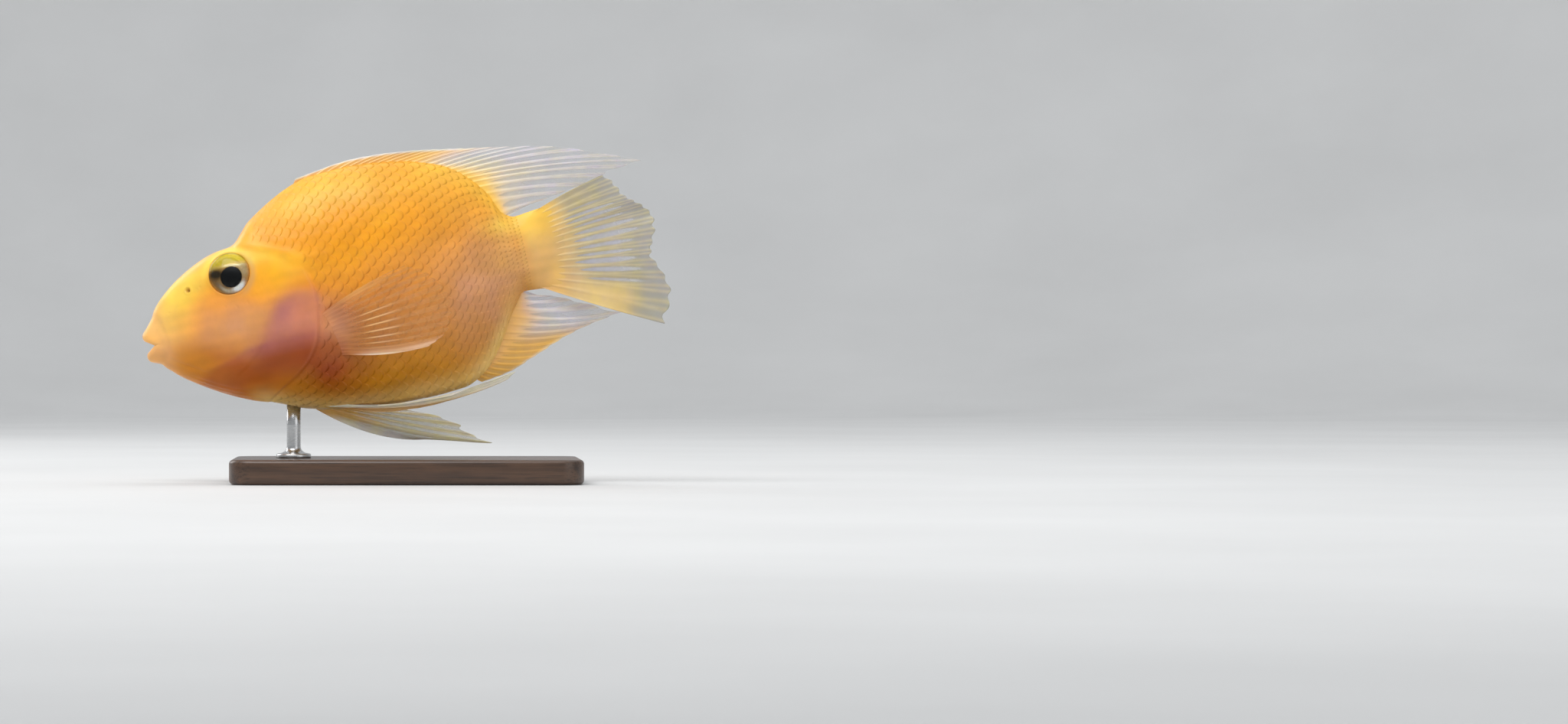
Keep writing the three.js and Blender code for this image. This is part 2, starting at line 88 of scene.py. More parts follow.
# Side outlines of the body and its width, as [u, value] pairs
BACK = [
    [1.4, 1.4], [3.5, 5.0], [9.7, 12.5], [20.3, 19.9], [33, 25.0], [40.4, 26.1], [47.9, 33.2],
    [55, 38.0], [63.2, 42.3], [72.7, 45.0], [86.5, 45.8], [107.3, 43.4], [122, 38.5], [130, 33.0],
    [137, 24.4], [140.6, 16.2], [145, 13.9], [150.4, 14.4], [156, 15.0], [161, 15.4],
]
BELLY = [
    [1.4, -9.6], [4.5, -11.6], [11.8, -18.1], [21.9, -25], [32.3, -30.5], [43.2, -34.6],
    [53.8, -39.1], [70.6, -42.8], [99.4, -45.0], [113, -44.2], [122, -39.8], [130.1, -30.9],
    [138, -18.9], [142.4, -13.9], [148.3, -14.3], [153, -15.4], [158, -17.2], [161, -18.6],
]
HALF_WIDTH = [
    [1.4, 2.8], [3, 4.2], [5, 5.6], [10, 8.6], [18, 12.2], [28, 15.2], [37, 17.2], [50, 19.2],
    [62, 20.5], [75, 20.6], [90, 19.2], [105, 16], [118, 12.3], [128, 9.2], [136, 7], [143, 5.2],
    [149, 3.4], [152, 1.9], [154, 1.15], [156, 0.65], [158, 0.34], [161, 0.12],
]
WIDEST_LEVEL = [[1.4, -4.4], [12, -5], [35, -5], [75, -4], [110, -2], [140, 0], [153, 0]]
UPPER_FULLNESS = [
    [0, 1], [15, 0.85], [30, 0.52], [40, 0.5], [55, 1.0], [90, 1.25], [125, 1.45], [153, 1.3],
]
LOWER_FULLNESS = [[0, 1], [30, 1], [60, 0.95], [100, 1], [125, 1.25], [153, 1.3]]
# Hind edge of the head past the gill cover to the nape, and the crease behind the cheek, as [v, u]
HEAD_MARGIN = [
    [-34, 40.4], [-30.8, 45.4], [-26.2, 53.7], [-20.4, 60.3], [-13.9, 64.1], [-5.6, 65.9],
    [1.5, 66.6], [9, 65.4], [15.8, 60.6], [21.4, 51.2], [26.1, 40.4],
]
CHEEK_CREASE = [[-24, 27], [-19, 36], [-12, 43.5], [-4, 47.6], [3, 51.5], [7, 56]]
COVER_FRONT = [[-34, 16], [-24, 16], [-18, 22], [-14.5, 34], [-11, 43.5], [-3, 50], [4, 57.5], [9, 63]]


def ramp(x, low, high):
    """A smooth rise from 0 at low to 1 at high."""
    t = np.clip((x - low) / (high - low), 0, 1)
    return t * t * (3 - 2 * t)


def fade(x, low, high):
    """A smooth fall from 1 at low to 0 at high."""
    return 1 - ramp(x, low, high)


def bell(x, middle, width):
    """A soft bump, 1 at its middle and about a third at its width."""
    return np.exp(-(((x - middle) / width) ** 2))


def stacked(*parts):
    """Arrays and numbers side by side along a new last axis."""
    return np.stack(np.broadcast_arrays(*parts), -1)


def line_through(pairs):
    """A smooth line through [place, value] pairs that never overshoots them."""
    places, values = np.array(pairs).T
    rises = np.diff(values) / np.diff(places)
    before, after = np.append(rises[0], rises), np.append(rises, rises[-1])
    total = np.where(before * after > 0, before + after, 1)
    slopes = np.where(before * after > 0, 2 * before * after / total, 0)

    def value(at):
        i = np.clip(np.searchsorted(places, at) - 1, 0, len(places) - 2)
        width = places[i + 1] - places[i]
        t = np.clip((at - places[i]) / width, 0, 1)
        ease = t * t * (3 - 2 * t)
        bulge = t * (1 - t) * width * ((1 - t) * slopes[i] - t * slopes[i + 1])
        return values[i] * (1 - ease) + values[i + 1] * ease + bulge

    return value


def curve_through(pairs):
    """A smooth curve through points, from s = 0 at the first to s = 1 at the last."""
    points = np.array(pairs, float)
    last = len(points) - 1

    def place(s):
        at = np.clip(np.asarray(s, float), 0, 1) * last
        i = np.minimum(at.astype(int), last - 1)
        w = (at - i)[..., None]
        p0, p1, p2, p3 = (points[np.clip(i + k, 0, last)] for k in (-1, 0, 1, 2))
        v0, v1 = (p2 - p0) * 0.5, (p3 - p1) * 0.5
        cubic, square = 2 * p1 - 2 * p2 + v0 + v1, 3 * p2 - 3 * p1 - 2 * v0 - v1
        return cubic * w**3 + square * w**2 + v0 * w + p1

    return place


back, belly, half_width = line_through(BACK), line_through(BELLY), line_through(HALF_WIDTH)
widest_level = line_through(WIDEST_LEVEL)
upper_fullness, lower_fullness = line_through(UPPER_FULLNESS), line_through(LOWER_FULLNESS)
head_margin, cheek_crease = line_through(HEAD_MARGIN), line_through(CHEEK_CREASE)
cover_front = line_through(COVER_FRONT)


def sweep(u):
    """How far the middle of the fish stands to one side at u."""
    reach = np.maximum(0, (u - TAIL_SWEEP.start) / (TAIL_SWEEP.end - TAIL_SWEEP.start))
    return TAIL_SWEEP.side * reach ** TAIL_SWEEP.power


def flank(u, v):
    """Half of the body's width at [u, v]."""
    level = widest_level(u)
    reach = np.where(v > level, back(u) - level, level - belly(u))
    rise = np.minimum(1, np.abs(v - level) / reach)
    fullness = np.where(v > level, upper_fullness(u), lower_fullness(u))
    return half_width(u) * np.sqrt(1 - rise * rise) ** fullness


def body_point(u, angle):
    """The body's surface at u, the angle running from the belly's middle line round the right flank."""
    level = widest_level(u)
    height = -np.cos(angle)
    v = level + height * np.where(height > 0, back(u) - level, level - belly(u))
    fullness = np.where(height > 0, upper_fullness(u), lower_fullness(u))
    across = np.sign(np.sin(angle)) * np.abs(np.sin(angle)) ** fullness
    return stacked(u, sweep(u) + half_width(u) * across, v)


def to_scene(points):
    """From the fish's frame in millimetres to the scene's in metres."""
    u, y, v = np.moveaxis(points, -1, 0)
    x = SNOUT[0] + u * math.cos(PITCH) - v * math.sin(PITCH)
    z = SNOUT[1] + u * math.sin(PITCH) + v * math.cos(PITCH)
    return stacked(x, y, z) * MM


def unit(vectors):
    return vectors / np.maximum(np.linalg.norm(vectors, axis=-1, keepdims=True), 1e-9)


def along(a, b):
    """Dot product of rows of vectors, kept as a column."""
    return (a * b).sum(-1, keepdims=True)


def linear(shade):
    """Linear colour of an sRGB triple. An array holds linear colours already."""
    if not isinstance(shade, tuple):
        return shade
    c = np.array(shade) / 255
    return np.where(c <= 0.04045, c / 12.92, ((c + 0.055) / 1.055) ** 2.4)


def layered(base, *layers):
    """A colour with others laid over it, each by its own mask."""
    masks = [np.asarray(mask) for _, mask in layers]
    paint = np.zeros(np.broadcast_shapes(*(mask.shape for mask in masks)) + (3,)) + linear(base)
    for (shade, _), mask in zip(layers, masks):
        paint = paint + (linear(shade) - paint) * np.clip(mask, 0, 1)[..., None]
    return paint


def spot(u, v, centre, radii, turn=0.0):
    """A soft oval patch, its long axis turned by some degrees from the body's."""
    cos, sin = math.cos(math.radians(turn)), math.sin(math.radians(turn))
    du, dv = u - centre[0], v - centre[1]
    a, b = (du * cos + dv * sin) / radii[0], (dv * cos - du * sin) / radii[1]
    return np.exp(-(a * a + b * b))


def waves(u, v, seed, size):
    """Smooth wandering values between about -1 and 1, with features of about that size."""
    draw = np.random.default_rng(seed)
    total = 0
    for _ in range(6):
        turn, phase, stretch = draw.uniform(0, math.pi), draw.uniform(0, 6.3), draw.uniform(0.7, 1.4)
        way = (u * math.cos(turn) + v * math.sin(turn)) * stretch / size
        total = total + np.sin(2 * math.pi * way + phase)
    return total / 3


# Meshes


def add_object(name, data=None):
    thing = bpy.data.objects.new(name, data)
    bpy.context.scene.collection.objects.link(thing)
    return thing


def make_mesh(name, points, faces, paint=None, clear=None, uv=None, weld=False):
    """A smooth piece from points in the scene and faces of four corners, white where it has no paint."""
    count = points.size // 3
    mesh = bpy.data.meshes.new(name)
    mesh.vertices.add(count)
    mesh.vertices.foreach_set("co", points.astype(np.float32).ravel())
    mesh.loops.add(faces.size)
    mesh.loops.foreach_set("vertex_index", faces.astype(np.int32).ravel())
    mesh.polygons.add(len(faces))
    mesh.polygons.foreach_set("loop_start", np.arange(0, faces.size, 4, dtype=np.int32))
    mesh.polygons.foreach_set("use_smooth", np.ones(len(faces), bool))
    mesh.update(calc_edges=True)
    rgba = np.ones((count, 4), np.float32)
    if paint is not None:
        rgba[:, :3] = paint.reshape(-1, 3)
    mesh.attributes.new("Paint", "FLOAT_COLOR", "POINT").data.foreach_set("color", rgba.ravel())
    if clear is not None:
        values = clear.astype(np.float32).ravel()
        mesh.attributes.new("Clear", "FLOAT", "POINT").data.foreach_set("value", values)
    if uv is not None:
        mesh.uv_layers.new(name="OFBake").uv.foreach_set("vector", uv.astype(np.float32).ravel())
    if weld:
        bm = bmesh.new()
        bm.from_mesh(mesh)
        bmesh.ops.remove_doubles(bm, verts=bm.verts, dist=WELD)
        bm.to_mesh(mesh)
        bm.free()
    return add_object(name, mesh)


def grid_steps(rows, columns, closed):
    """Row and column of each face of a grid, and how many faces it has across."""
    wide = columns if closed else columns - 1
    r, c = np.meshgrid(np.arange(rows - 1), np.arange(wide), indexing="ij")
    return r.ravel(), c.ravel(), wide


def grid_faces(rows, columns, closed=True):
    """Faces of a grid whose points are stored row after row."""
    r, c, _ = grid_steps(rows, columns, closed)
    n = (c + 1) % columns
    return stacked(r * columns + c, r * columns + n, (r + 1) * columns + n, (r + 1) * columns + c)


def grid_uv(rows, columns, closed=True, low=0.0, high=1.0):
    """Corner places of the same faces on a flat map, between low and high across."""
    r, c, wide = grid_steps(rows, columns, closed)
    margin, span = 0.005, 0.99
    return np.stack([
        stacked(low + (high - low) * (margin + span * b / wide), margin + span * a / (rows - 1))
        for a, b in ((r, c), (r, c + 1), (r + 1, c + 1), (r + 1, c))
    ], 1)


def sheet_faces(rows, columns):
    """Faces of a closed sheet: its front, its back with points that follow the front's, and its rim."""
    count = rows * columns
    front = grid_faces(rows, columns, False)
    index = np.arange(count).reshape(rows, columns)
    rim = np.concatenate([index[:-1, 0], index[-1, :-1], index[:0:-1, -1], index[0, :0:-1]])
    ahead = np.roll(rim, -1)
    return np.concatenate([front, front[:, ::-1] + count, stacked(rim, ahead, ahead + count, rim + count)])


def sheet_uv(rows, columns):
    """Corner places of the same faces: front, back and rim beside each other."""
    front = grid_uv(rows, columns, False, 0.0, 0.49)
    behind = grid_uv(rows, columns, False, 0.5, 0.985)[:, ::-1]
    step = 1 / (2 * (rows + columns - 2))
    k = np.arange(2 * (rows + columns - 2)) * step
    corners = [stacked(x, y) for x, y in ((0.99, k), (0.99, k + step), (0.999, k + step), (0.999, k))]
    return np.concatenate([front, behind, np.stack(corners, 1)])


def grid_normals(points, closed):
    """Normals of a grid of points, in the fish's frame."""
    down = np.gradient(points, axis=0)
    around = (np.roll(points, -1, 1) - np.roll(points, 1, 1)) if closed else np.gradient(points, axis=1)
    return unit(np.cross(around, down))


def make_ringed(name, rings, paint=None, order=1):
    """A closed piece from rings of points in the scene. Order -1 turns its faces over."""
    return make_mesh(name, rings, grid_faces(*rings.shape[:2])[:, ::order], paint, weld=True)


def polar_grid(radii, columns):
    turn = np.arange(columns) * 2 * math.pi / columns
    return radii[:, None] * np.cos(turn), radii[:, None] * np.sin(turn)


def make_round(name, profile, columns, middle=0.0, order=1):
    """A round piece from pairs of radius and height, about the upright line at x = middle."""
    radii, heights = np.array(profile).T
    x, y = polar_grid(radii, columns)
    return make_ringed(name, stacked(middle + x, y, heights[:, None]), order=order)


# Skin of head, body and tail stem


def even_angles(u):
    """Angles round the section at u that set its points evenly apart."""
    fine = math.pi * (0.5 - 0.5 * np.cos(np.linspace(0, math.pi, 721)))
    half = body_point(np.full_like(fine, u), fine)
    way = np.append(0, np.cumsum(np.linalg.norm(np.diff(half, axis=0), axis=1)))
    even = np.interp(np.linspace(0, way[-1], SKIN_COLUMNS // 2 + 1), way, fine)
    return np.append(even, 2 * math.pi - even[-2:0:-1])


def body_rows():
    """The body from behind the lips to the end of the stem, and its closed end."""
    way = np.interp(np.linspace(0, 1, SKIN_ROWS), [0, 0.52, 1], [0, 0.42, 1])
    angles = np.array([even_angles(6 + (BODY_END - 6) * t) for t in way])
    lips_end = 3.9 + 4.1 * np.sin(angles) ** 2
    rows = body_point(lips_end + (BODY_END - lips_end) * way[:, None], angles)
    end = rows[-1:].copy()
    end[..., 0] += 0.4
    end[..., 1] = sweep(end[..., 0])
    return np.concatenate([rows, end]), angles


def lip_rows(angle):
    """From deep in the mouth out over the lips, row by row."""
    top, side = -np.cos(angle), np.abs(np.sin(angle))
    height = 1.1 * top + MOUTH.opening * np.sign(top) * (1 - side**3.1)
    rearward = 2.5 + 0.1 * (1 - top) + 3.2 * side**3.2
    centre = stacked(rearward, MOUTH.half_width * np.sin(angle), MOUTH.level + height)
    tangent = unit(np.roll(centre, -1, 0) - np.roll(centre, 1, 0))
    ahead = stacked(-1, 0.5 * np.sin(angle), 0)
    ahead = unit(ahead - along(ahead, tangent) * tangent)
    out = np.cross(tangent, ahead)
    out *= np.sign(along(out, centre - np.array([4.0, 0, MOUTH.level])))
    radius = MOUTH.lip * (0.56 + 0.44 * np.abs(top) ** 0.7)
    inner = np.minimum(radius, 0.55 * np.abs(height) + 0.15)
    rows = []
    for turn in np.radians(range(220, 4, -12)):
        across = np.where(np.cos(turn) > 0, radius, inner) * np.cos(turn)
        rows.append(centre + across[:, None] * out + (radius * np.sin(turn))[:, None] * ahead)
    throat = np.array([MOUTH.throat, 0, MOUTH.level])
    shares = [1 - np.array([k, k**2, k**1.5]) for k in (1, 0.9, 0.7, 0.45, 0.2)]
    deep = [throat + (rows[0] - throat) * share for share in shares]
    return np.array(deep + rows)


def smoothed(points, weight, passes):
    """The grid with its points drawn towards their neighbours' mean, by a weight for each row."""
    for _ in range(passes):
        mean = (np.roll(points, 1, 1) + np.roll(points, -1, 1)) / 4
        mean[1:-1] += (points[:-2] + points[2:]) / 4
        mean[0], mean[-1] = points[0], points[-1]
        points = points + weight[..., None] * (mean - points)
    return points


def gill_relief(u, v):
    """The raised edge of the gill cover, the groove behind it, and the nape's step over the head."""
    behind = u - head_margin(v)
    on_gill = ramp(v, -37, -30) * fade(v, 8, 14)
    cover = RELIEF.gill_cover * ramp(behind, -16, -2) * fade(behind, -0.4, 0.9)
    groove = bell(behind, 1.1, 0.9) + np.exp(-np.maximum(behind, 0) / 5) * ramp(behind, -0.5, 0.5)
    nape = RELIEF.nape * np.exp(-np.maximum(behind, 0) / 8) * ramp(behind, -3, 4)
    return on_gill * (cover - RELIEF.gill_groove * groove) + ramp(v, 10, 16) * nape


def cheek_relief(u, v, arc):
    """The cheek and its crease, the fold along the jaw and the folds of the throat."""
    crease = u - cheek_crease(v)
    on_cheek = ramp(v, -25, -18) * fade(v, 3, 8)
    lift = RELIEF.cheek * on_cheek * ramp(crease, -10, -1) * fade(crease, -1, 1.6)
    lift += RELIEF.under_eye * spot(u, v, (33, -4), (11, 8))
    lift += RELIEF.pectoral_foot * spot(u, v, (57, -10), (6, 9), 20)
    jaw = v + 8.4 + 0.62 * (u - 5)
    lift -= RELIEF.jaw_fold * bell(jaw, 0, 0.9) * ramp(u, 5, 8) * fade(u, 16, 24)
    throat = ramp(u, 13, 19) * fade(u, 38, 44)
    for way in (1.6, 4.2, 6.8):
        lift -= RELIEF.throat_fold * throat * bell(arc - 0.14 * (u - 16), way, 0.6)
    return lift


def pores():
    """Place and size of the head's small pores: under the eye, down the cheek's crease, jaw and snout."""
    for turn in np.radians(range(190, 350, 20)):
        yield EYE.u + 12.2 * math.cos(turn), EYE.v + 12.2 * math.sin(turn), 0.34
    for v in -18 + 4.2 * np.arange(6):
        yield cheek_crease(v) - 2.2, v, 0.34
    for step in range(4):
        yield 8 + 5.5 * step, -15.0 - 3.4 * step, 0.3
    for step in range(3):
        yield 12 + 6 * step, 6.5 + 3.2 * step, 0.28


def from_nostril(u, v):
    """The way from the middle of the nostril, as a share of its radius."""
    return np.hypot(u - NOSTRIL.u, v - NOSTRIL.v) / NOSTRIL.radius


def skin_relief(u, v, arc):
    """How far the skin stands out from the plain body; arc is the way from the belly's middle line."""
    lift = gill_relief(u, v) + cheek_relief(u, v, arc)
    lift += RELIEF.uneven * waves(u, v, 3, 34) * ramp(u, 8, 20)
    lift += RELIEF.furrows * waves(u * 0.35, v, 5, 5) * ramp(u - head_margin(v), 0, 8)
    for at_u, at_v, size in pores():
        lift -= RELIEF.pore * np.exp(-(((u - at_u) ** 2 + (v - at_v) ** 2) / size**2))
    hole = from_nostril(u, v)
    return lift + NOSTRIL.rim * bell(hole, 1.7, 0.55) - NOSTRIL.depth * bell(hole, 0, 1)


def eye_frame(side):
    """Middle of an eye, and its own axes: towards the tail, up, and out of the head."""
    out = unit(np.array([-EYE.forward, side, EYE.up]))
    tailward = unit(np.array([1.0, 0, 0]) - out[0] * out)
    up = np.cross(tailward, out) * side
    return np.array([EYE.u, side * EYE.y, EYE.v]), np.stack([tailward, up, out])


def on_eye_side(points, side):
    """The part of the head's side that an eye can touch."""
    return (points[..., 1] * side > 0) & (points[..., 0] > 15) & (points[..., 0] < 60)


def seat_eye(points, side):
    """Raises the rim of flesh round an eye and sinks the skin under the eyeball."""
    centre, axes = eye_frame(side)
    local = (points - centre) @ axes.T
    a, b, height = np.moveaxis(local, -1, 0)
    radius = np.hypot(a, b)
    over = ramp(b, 0, 6)
    rim, fillet = EYE_RIM.radius, 0.2
    mound = EYE_RIM.height - over - 1.1 * (np.maximum(radius - rim, 0) / (1.4 - 0.5 * over)) ** 2
    raised = (height + mound + np.sqrt((height - mound) ** 2 + fillet)) / 2
    dip = 0.6 * (np.maximum(rim - radius, 0) / 0.6) ** 1.5
    sunk = np.where(radius < rim, np.maximum(raised - dip, -EYE_RIM.sunk), raised)
    share = fade(radius, 11.5, 14.5) * (on_eye_side(points, side) & (height > -9))
    local[..., 2] = height + share * (sunk - height)
    return centre + local @ axes


# Colours of the skin: base shades from belly to back, then soft patches in the fish's frame
# The fish's own colours from belly to back, with painted shade making the lower flank and belly darker, as
# under a lamp above.
SHADES = {
    "back": (252, 180, 54),
    "flank": (248, 160, 44),
    "lower": (216, 140, 48),
    "belly": (222, 148, 30),
}
PATCHES = {
    "hind flank, peach": ((127, -9), (15, 19), 0, (222, 158, 118), 0.85),
    "hind flank, low": ((120, -28), (18, 9), 35, (196, 130, 76), 0.7),
    # Partly the belly's own ochre and partly painted shade on the underside.
    "belly, ochre": ((94, -37), (34, 10), 2, (214, 136, 12), 0.9),
    "hind back": ((106, 40), (12, 6), 0, (238, 158, 40), 0.7),
    # Partly the breast's own brown and partly painted shadow under the head and the pectoral fin.
    "breast, brown": ((66, -26), (14, 11), -8, (160, 60, 4), 0.95),
    # The next two browns under the head are partly its own colour and partly painted shade.
    "low cheek, brown": ((31, -17), (15, 5), -14, (176, 94, 18), 0.6),
    "throat": ((31, -23), (19, 8), -30, (184, 82, 0), 0.9),
    "jaw": ((18, -13), (16, 5), -35, (214, 134, 14), 0.85),
    "cheek": ((36, -3), (18, 9), -5, (212, 152, 112), 0.85),
    "face": ((9, 3), (10, 8), 45, (246, 190, 112), 0.8),
    "forehead": ((18, 13), (16, 6.5), 42, (255, 216, 92), 0.9),
    "behind the eye": ((56, 12), (12, 6), -10, (255, 194, 34), 0.8),
    "brow band": ((49, 20.5), (15, 3.4), -28, (255, 212, 76), 0.9),
    "nape": ((48, 31), (10, 6), 38, (255, 172, 82), 0.8),
    "middle flank, dusky": ((100, 8), (16, 9), 0, (226, 150, 84), 0.5),
    "rear, tan": ((133, 4), (8, 8), 0, (204, 136, 72), 0.5),
    "upper flank": ((86, 18), (32, 14), 4, (255, 164, 20), 0.8),
    "back, bright streak": ((76, 37), (19, 4), 4, (255, 204, 88), 0.6),
    "wedge over the pectoral fin": ((68, 3), (8, 6), -30, (236, 138, 34), 0.7),
    "pectoral root": ((72, -11), (7, 9), 0, (212, 144, 110), 0.7),
    "stem": ((141, -1), (10, 12), 0, (230, 172, 104), 0.7),
    "stem, top": ((141, 12), (8, 4.5), 0, (255, 208, 92), 0.9),
}
# The gill cover's shades by level v, from its lower end to its top; the browns low on the cover are partly
# its own colour and partly painted shade.
GILL_COVER = {
    -34: (214, 128, 40), -28: (150, 60, 0), -18: (152, 58, 10), -13: (170, 88, 86),
    -8: (212, 132, 108), -1: (206, 126, 98), 8: (230, 152, 84),
}


def tail_foot(s, t):
    """Colours that the stem and the foot of the tail fin share: yellow above, tan below, paler outwards.
    s runs down the fin's rays and t out along them."""
    return layered(
        (186, 172, 138), ((168, 166, 158), ramp(t, 0.5, 1.0)), ((232, 186, 112), fade(t, 0.12, 0.5)),
        ((255, 204, 86), fade(t, 0.15, 0.5) * fade(s, 0.08, 0.5)),
        ((226, 174, 108), 0.8 * fade(t, 0.0, 0.2) * ramp(s, 0.25, 0.6)),
    )


def gill_layer(u, v, wander_u, wander_v):
    """Shades of the gill cover, and how strongly they show."""
    shades = np.array([linear(shade) for shade in GILL_COVER.values()]).T
    cover = np.stack([np.interp(v, list(GILL_COVER), channel) for channel in shades], -1)
    past = (u - head_margin(v) + wander_u) / (4 + 12 * ramp(-v, 11, 19))
    share = ramp(u + wander_u - cover_front(v), -5, 5) * fade(past, -0.2, 1)
    share = share * ramp(v, -33, -20) * fade(v + wander_v, 0, 8)
    return cover, share * (0.5 + 0.35 * ramp(u, 34, 46))


def skin_paint(u, v):
    """Colours of the skin, soft patches over the base shades, with painted shade low on the body, painted
    light along the belly's rim and a painted highlight at the gill cover's edge.
    """
    rise = (v - belly(u)) / (back(u) - belly(u)) + 0.03 * waves(u, v, 21, 30)
    wander_u, wander_v = 1.2 * waves(u, v, 31, 16), 1.2 * waves(u, v, 32, 16)
    patches = [
        (shade, strength * spot(u + wander_u, v + wander_v, centre, radii, turn))
        for centre, radii, turn, shade, strength in PATCHES.values()
    ]
    # Painted light caught on the belly's underside: a pale band along the lower outline.
    belly_rim_light = bell(np.maximum(v - belly(u), 0), 0, 4.2 + 1.6 * ramp(u, 74, 98))
    top_rim = bell(np.maximum(back(u) - v, 0), 0, 2.2)
    reach = (u - 148) / 42
    # A painted highlight along the hind edge of the gill cover.
    gill_edge_highlight = bell(u - head_margin(v), -0.5, 0.7) * ramp(v, -34, -26) * fade(v, 6, 12)
    paint = layered(
        # Base shades from belly to back, partly painted shade low on the body.
        SHADES["belly"], (SHADES["lower"], ramp(rise, 0.1, 0.3)), (SHADES["flank"], ramp(rise, 0.3, 0.6)),
        (SHADES["back"], ramp(rise, 0.68, 0.95)), *patches,
        ((246, 184, 62), 0.7 * ramp(u, 104, 120) * ramp(v - back(u), -9, -2)),
        gill_layer(u, v, wander_u, wander_v),
        ((180, 112, 108), 0.65 * spot(u + wander_u, v, (53, -3.5), (11, 4.6), 49)),
        ((218, 138, 94), 0.6 * spot(u, v, (67, -6), (4.5, 8))),
        # Painted light along the belly's lower outline.
        ((255, 214, 130), 0.88 * belly_rim_light * ramp(u, 32, 42) * fade(u, 128, 142)),
        ((244, 196, 140), 0.5 * top_rim * ramp(u, 12, 20) * fade(u, 40, 46)),
        (tail_foot(0.5 - v / (24.8 + 30 * np.maximum(reach, 0)), reach), ramp(u, 143, 149)),
        # Painted highlight at the gill cover's hind edge.
        ((222, 140, 104), 0.2 * gill_edge_highlight),
    )
    streaks = 0.035 * waves(u * 0.12, v, 41, 4.5) + 0.03 * waves(u, v, 42, 18)
    return np.clip(paint * (1 + streaks[..., None]), 0, 1)


def eye_surround(paint, points, side):
    """The skin's colours with painted shade in the crease round an eye, darker below it, and the hind ring
    and the pale brow.
    """
    centre, axes = eye_frame(side)
    a, b, _ = np.moveaxis((points - centre) @ axes.T, -1, 0)
    ring, near = np.hypot(a, b), on_eye_side(points, side)
    return layered(
        # Painted shade in the crease where the skin meets the eyeball, darker below.
        paint, ((176, 124, 46), 0.3 * bell(ring, 7.9, 0.9) * near * (0.75 - 0.25 * np.tanh(b / 4))),
        ((204, 158, 100), 0.55 * bell(ring, 9.0, 1.3) * near * ramp(a, 1, 6)),
        ((255, 224, 96), 0.6 * bell(ring, 9.6, 1.6) * near * ramp(b, -2, 6)),
    )


def skin_surface():
    """Points, normals and colours of one skin over head, body and tail stem, row by row."""
    rows, angles = body_rows()
    lips = lip_rows(angles[0])
    bridge = [lips[-1] + (rows[0] - lips[-1]) * t for t in (0.34, 0.67)]
    points = np.concatenate([lips, bridge, rows])
    front, count = len(lips) + len(bridge), len(points)
    index = np.arange(count)[:, None]
    weight = ramp(index, len(lips) - 8, len(lips)) * fade(index, front + 10, front + 30)
    points = smoothed(points, 0.8 * weight, 8)
    normals = grid_normals(points, True)
    normals[-3:] = normals[-3]
    u, v = points[..., 0], points[..., 2]
    column = np.arange(SKIN_COLUMNS)
    share = np.minimum(column, SKIN_COLUMNS - column) / (SKIN_COLUMNS / 2)
    girth = np.linalg.norm(np.roll(points, -1, 1) - points, axis=-1).sum(1, keepdims=True) / 2
    lift = skin_relief(u, v, share * girth)
    lift = lift * ramp(index, front - 2, front + 14) * fade(index, count - 30, count - 4)
    lift = lift - RELIEF.lip_groove * bell(index, front + 2, 3.2)
    lift = lift + RELIEF.lip_swell * bell(index, front - 5, 3.2)
    paint = skin_paint(u, v)
    # Painted shade in the nostril's hole.
    nostril = 0.8 * bell(from_nostril(u, v), 0, 1.1)
    points = points + lift[..., None] * normals
    for side in (-1, 1):
        points = seat_eye(points, side)
        paint = eye_surround(paint, points, side)
    on_lip = ramp(index, 8, 14) * fade(index, len(lips) - 4, front + 34) ** 2
    # Painted shade in the nostril's hole; deep in the mouth a dark red, partly its lining and partly
    # painted shade; then the lips' paler colour.
    paint = layered(
        paint, ((140, 78, 30), nostril), ((92, 34, 26), fade(index, 4, 13)), ((250, 190, 124), 0.6 * on_lip)
    )
    return points, grid_normals(points, True), paint


def make_skin(points, paint):
    faces, uv = grid_faces(*points.shape[:2]), grid_uv(*points.shape[:2])
    return make_mesh("skin", to_scene(points), faces, paint, uv=uv, weld=True)


def between(grid, row, column):
    """Value of a grid that is closed round its columns, between its rows and columns."""
    row = np.clip(row, 0, len(grid) - 1.001)
    r, c = np.floor(row).astype(int), np.floor(column).astype(int)
    f, g = (row - r)[..., None], (column - c)[..., None]
    wide = grid.shape[1]
    near = grid[r, c % wide] * (1 - g) + grid[r, (c + 1) % wide] * g
    far = grid[r + 1, c % wide] * (1 - g) + grid[r + 1, (c + 1) % wide] * g
    return near * (1 - f) + far * f


# One scale's own places: out from its root to its free edge, and across from side to side
SCALE_OUT = np.array([0, 0.08, 0.35, 0.6, 0.83, 1.0])[:, None]
SCALE_ACROSS = np.sin(np.linspace(-1.45, 1.45, 9))[None, :]


def scale_places(points):
    """Rows and columns of the skin's grid where the scales' points lie, and each scale's place round it."""
    a, b = SCALE_OUT, SCALE_ACROSS
    middle = points[:, SKIN_COLUMNS // 4, 0]
    first = int(np.argmax(middle > SCALES_FROM))
    depth = back(middle[first:]) - belly(middle[first:])
    way = np.append(0, np.cumsum(np.diff(middle[first:]) / (SCALE.spacing + SCALE.growth * depth[1:])))
    columns = np.arange(1, int(np.interp(SCALES_TO, middle[first:], way)))
    i, j = np.meshgrid(columns, np.arange(SCALE.rows), indexing="ij")
    i, q = i.ravel(), (j + 0.5 * (i % 2)).ravel()
    reach = SCALE.reach + SCALE.bulge * np.sqrt(1 - b**2)
    along_body = i[:, None, None] - SCALE.overlap + a * reach
    around = q[:, None, None] + SCALE.half_height * b * (0.85 + 0.15 * a)
    row = first + np.interp(along_body, way, np.arange(len(way)))
    return row, around * (SKIN_COLUMNS / SCALE.rows), q


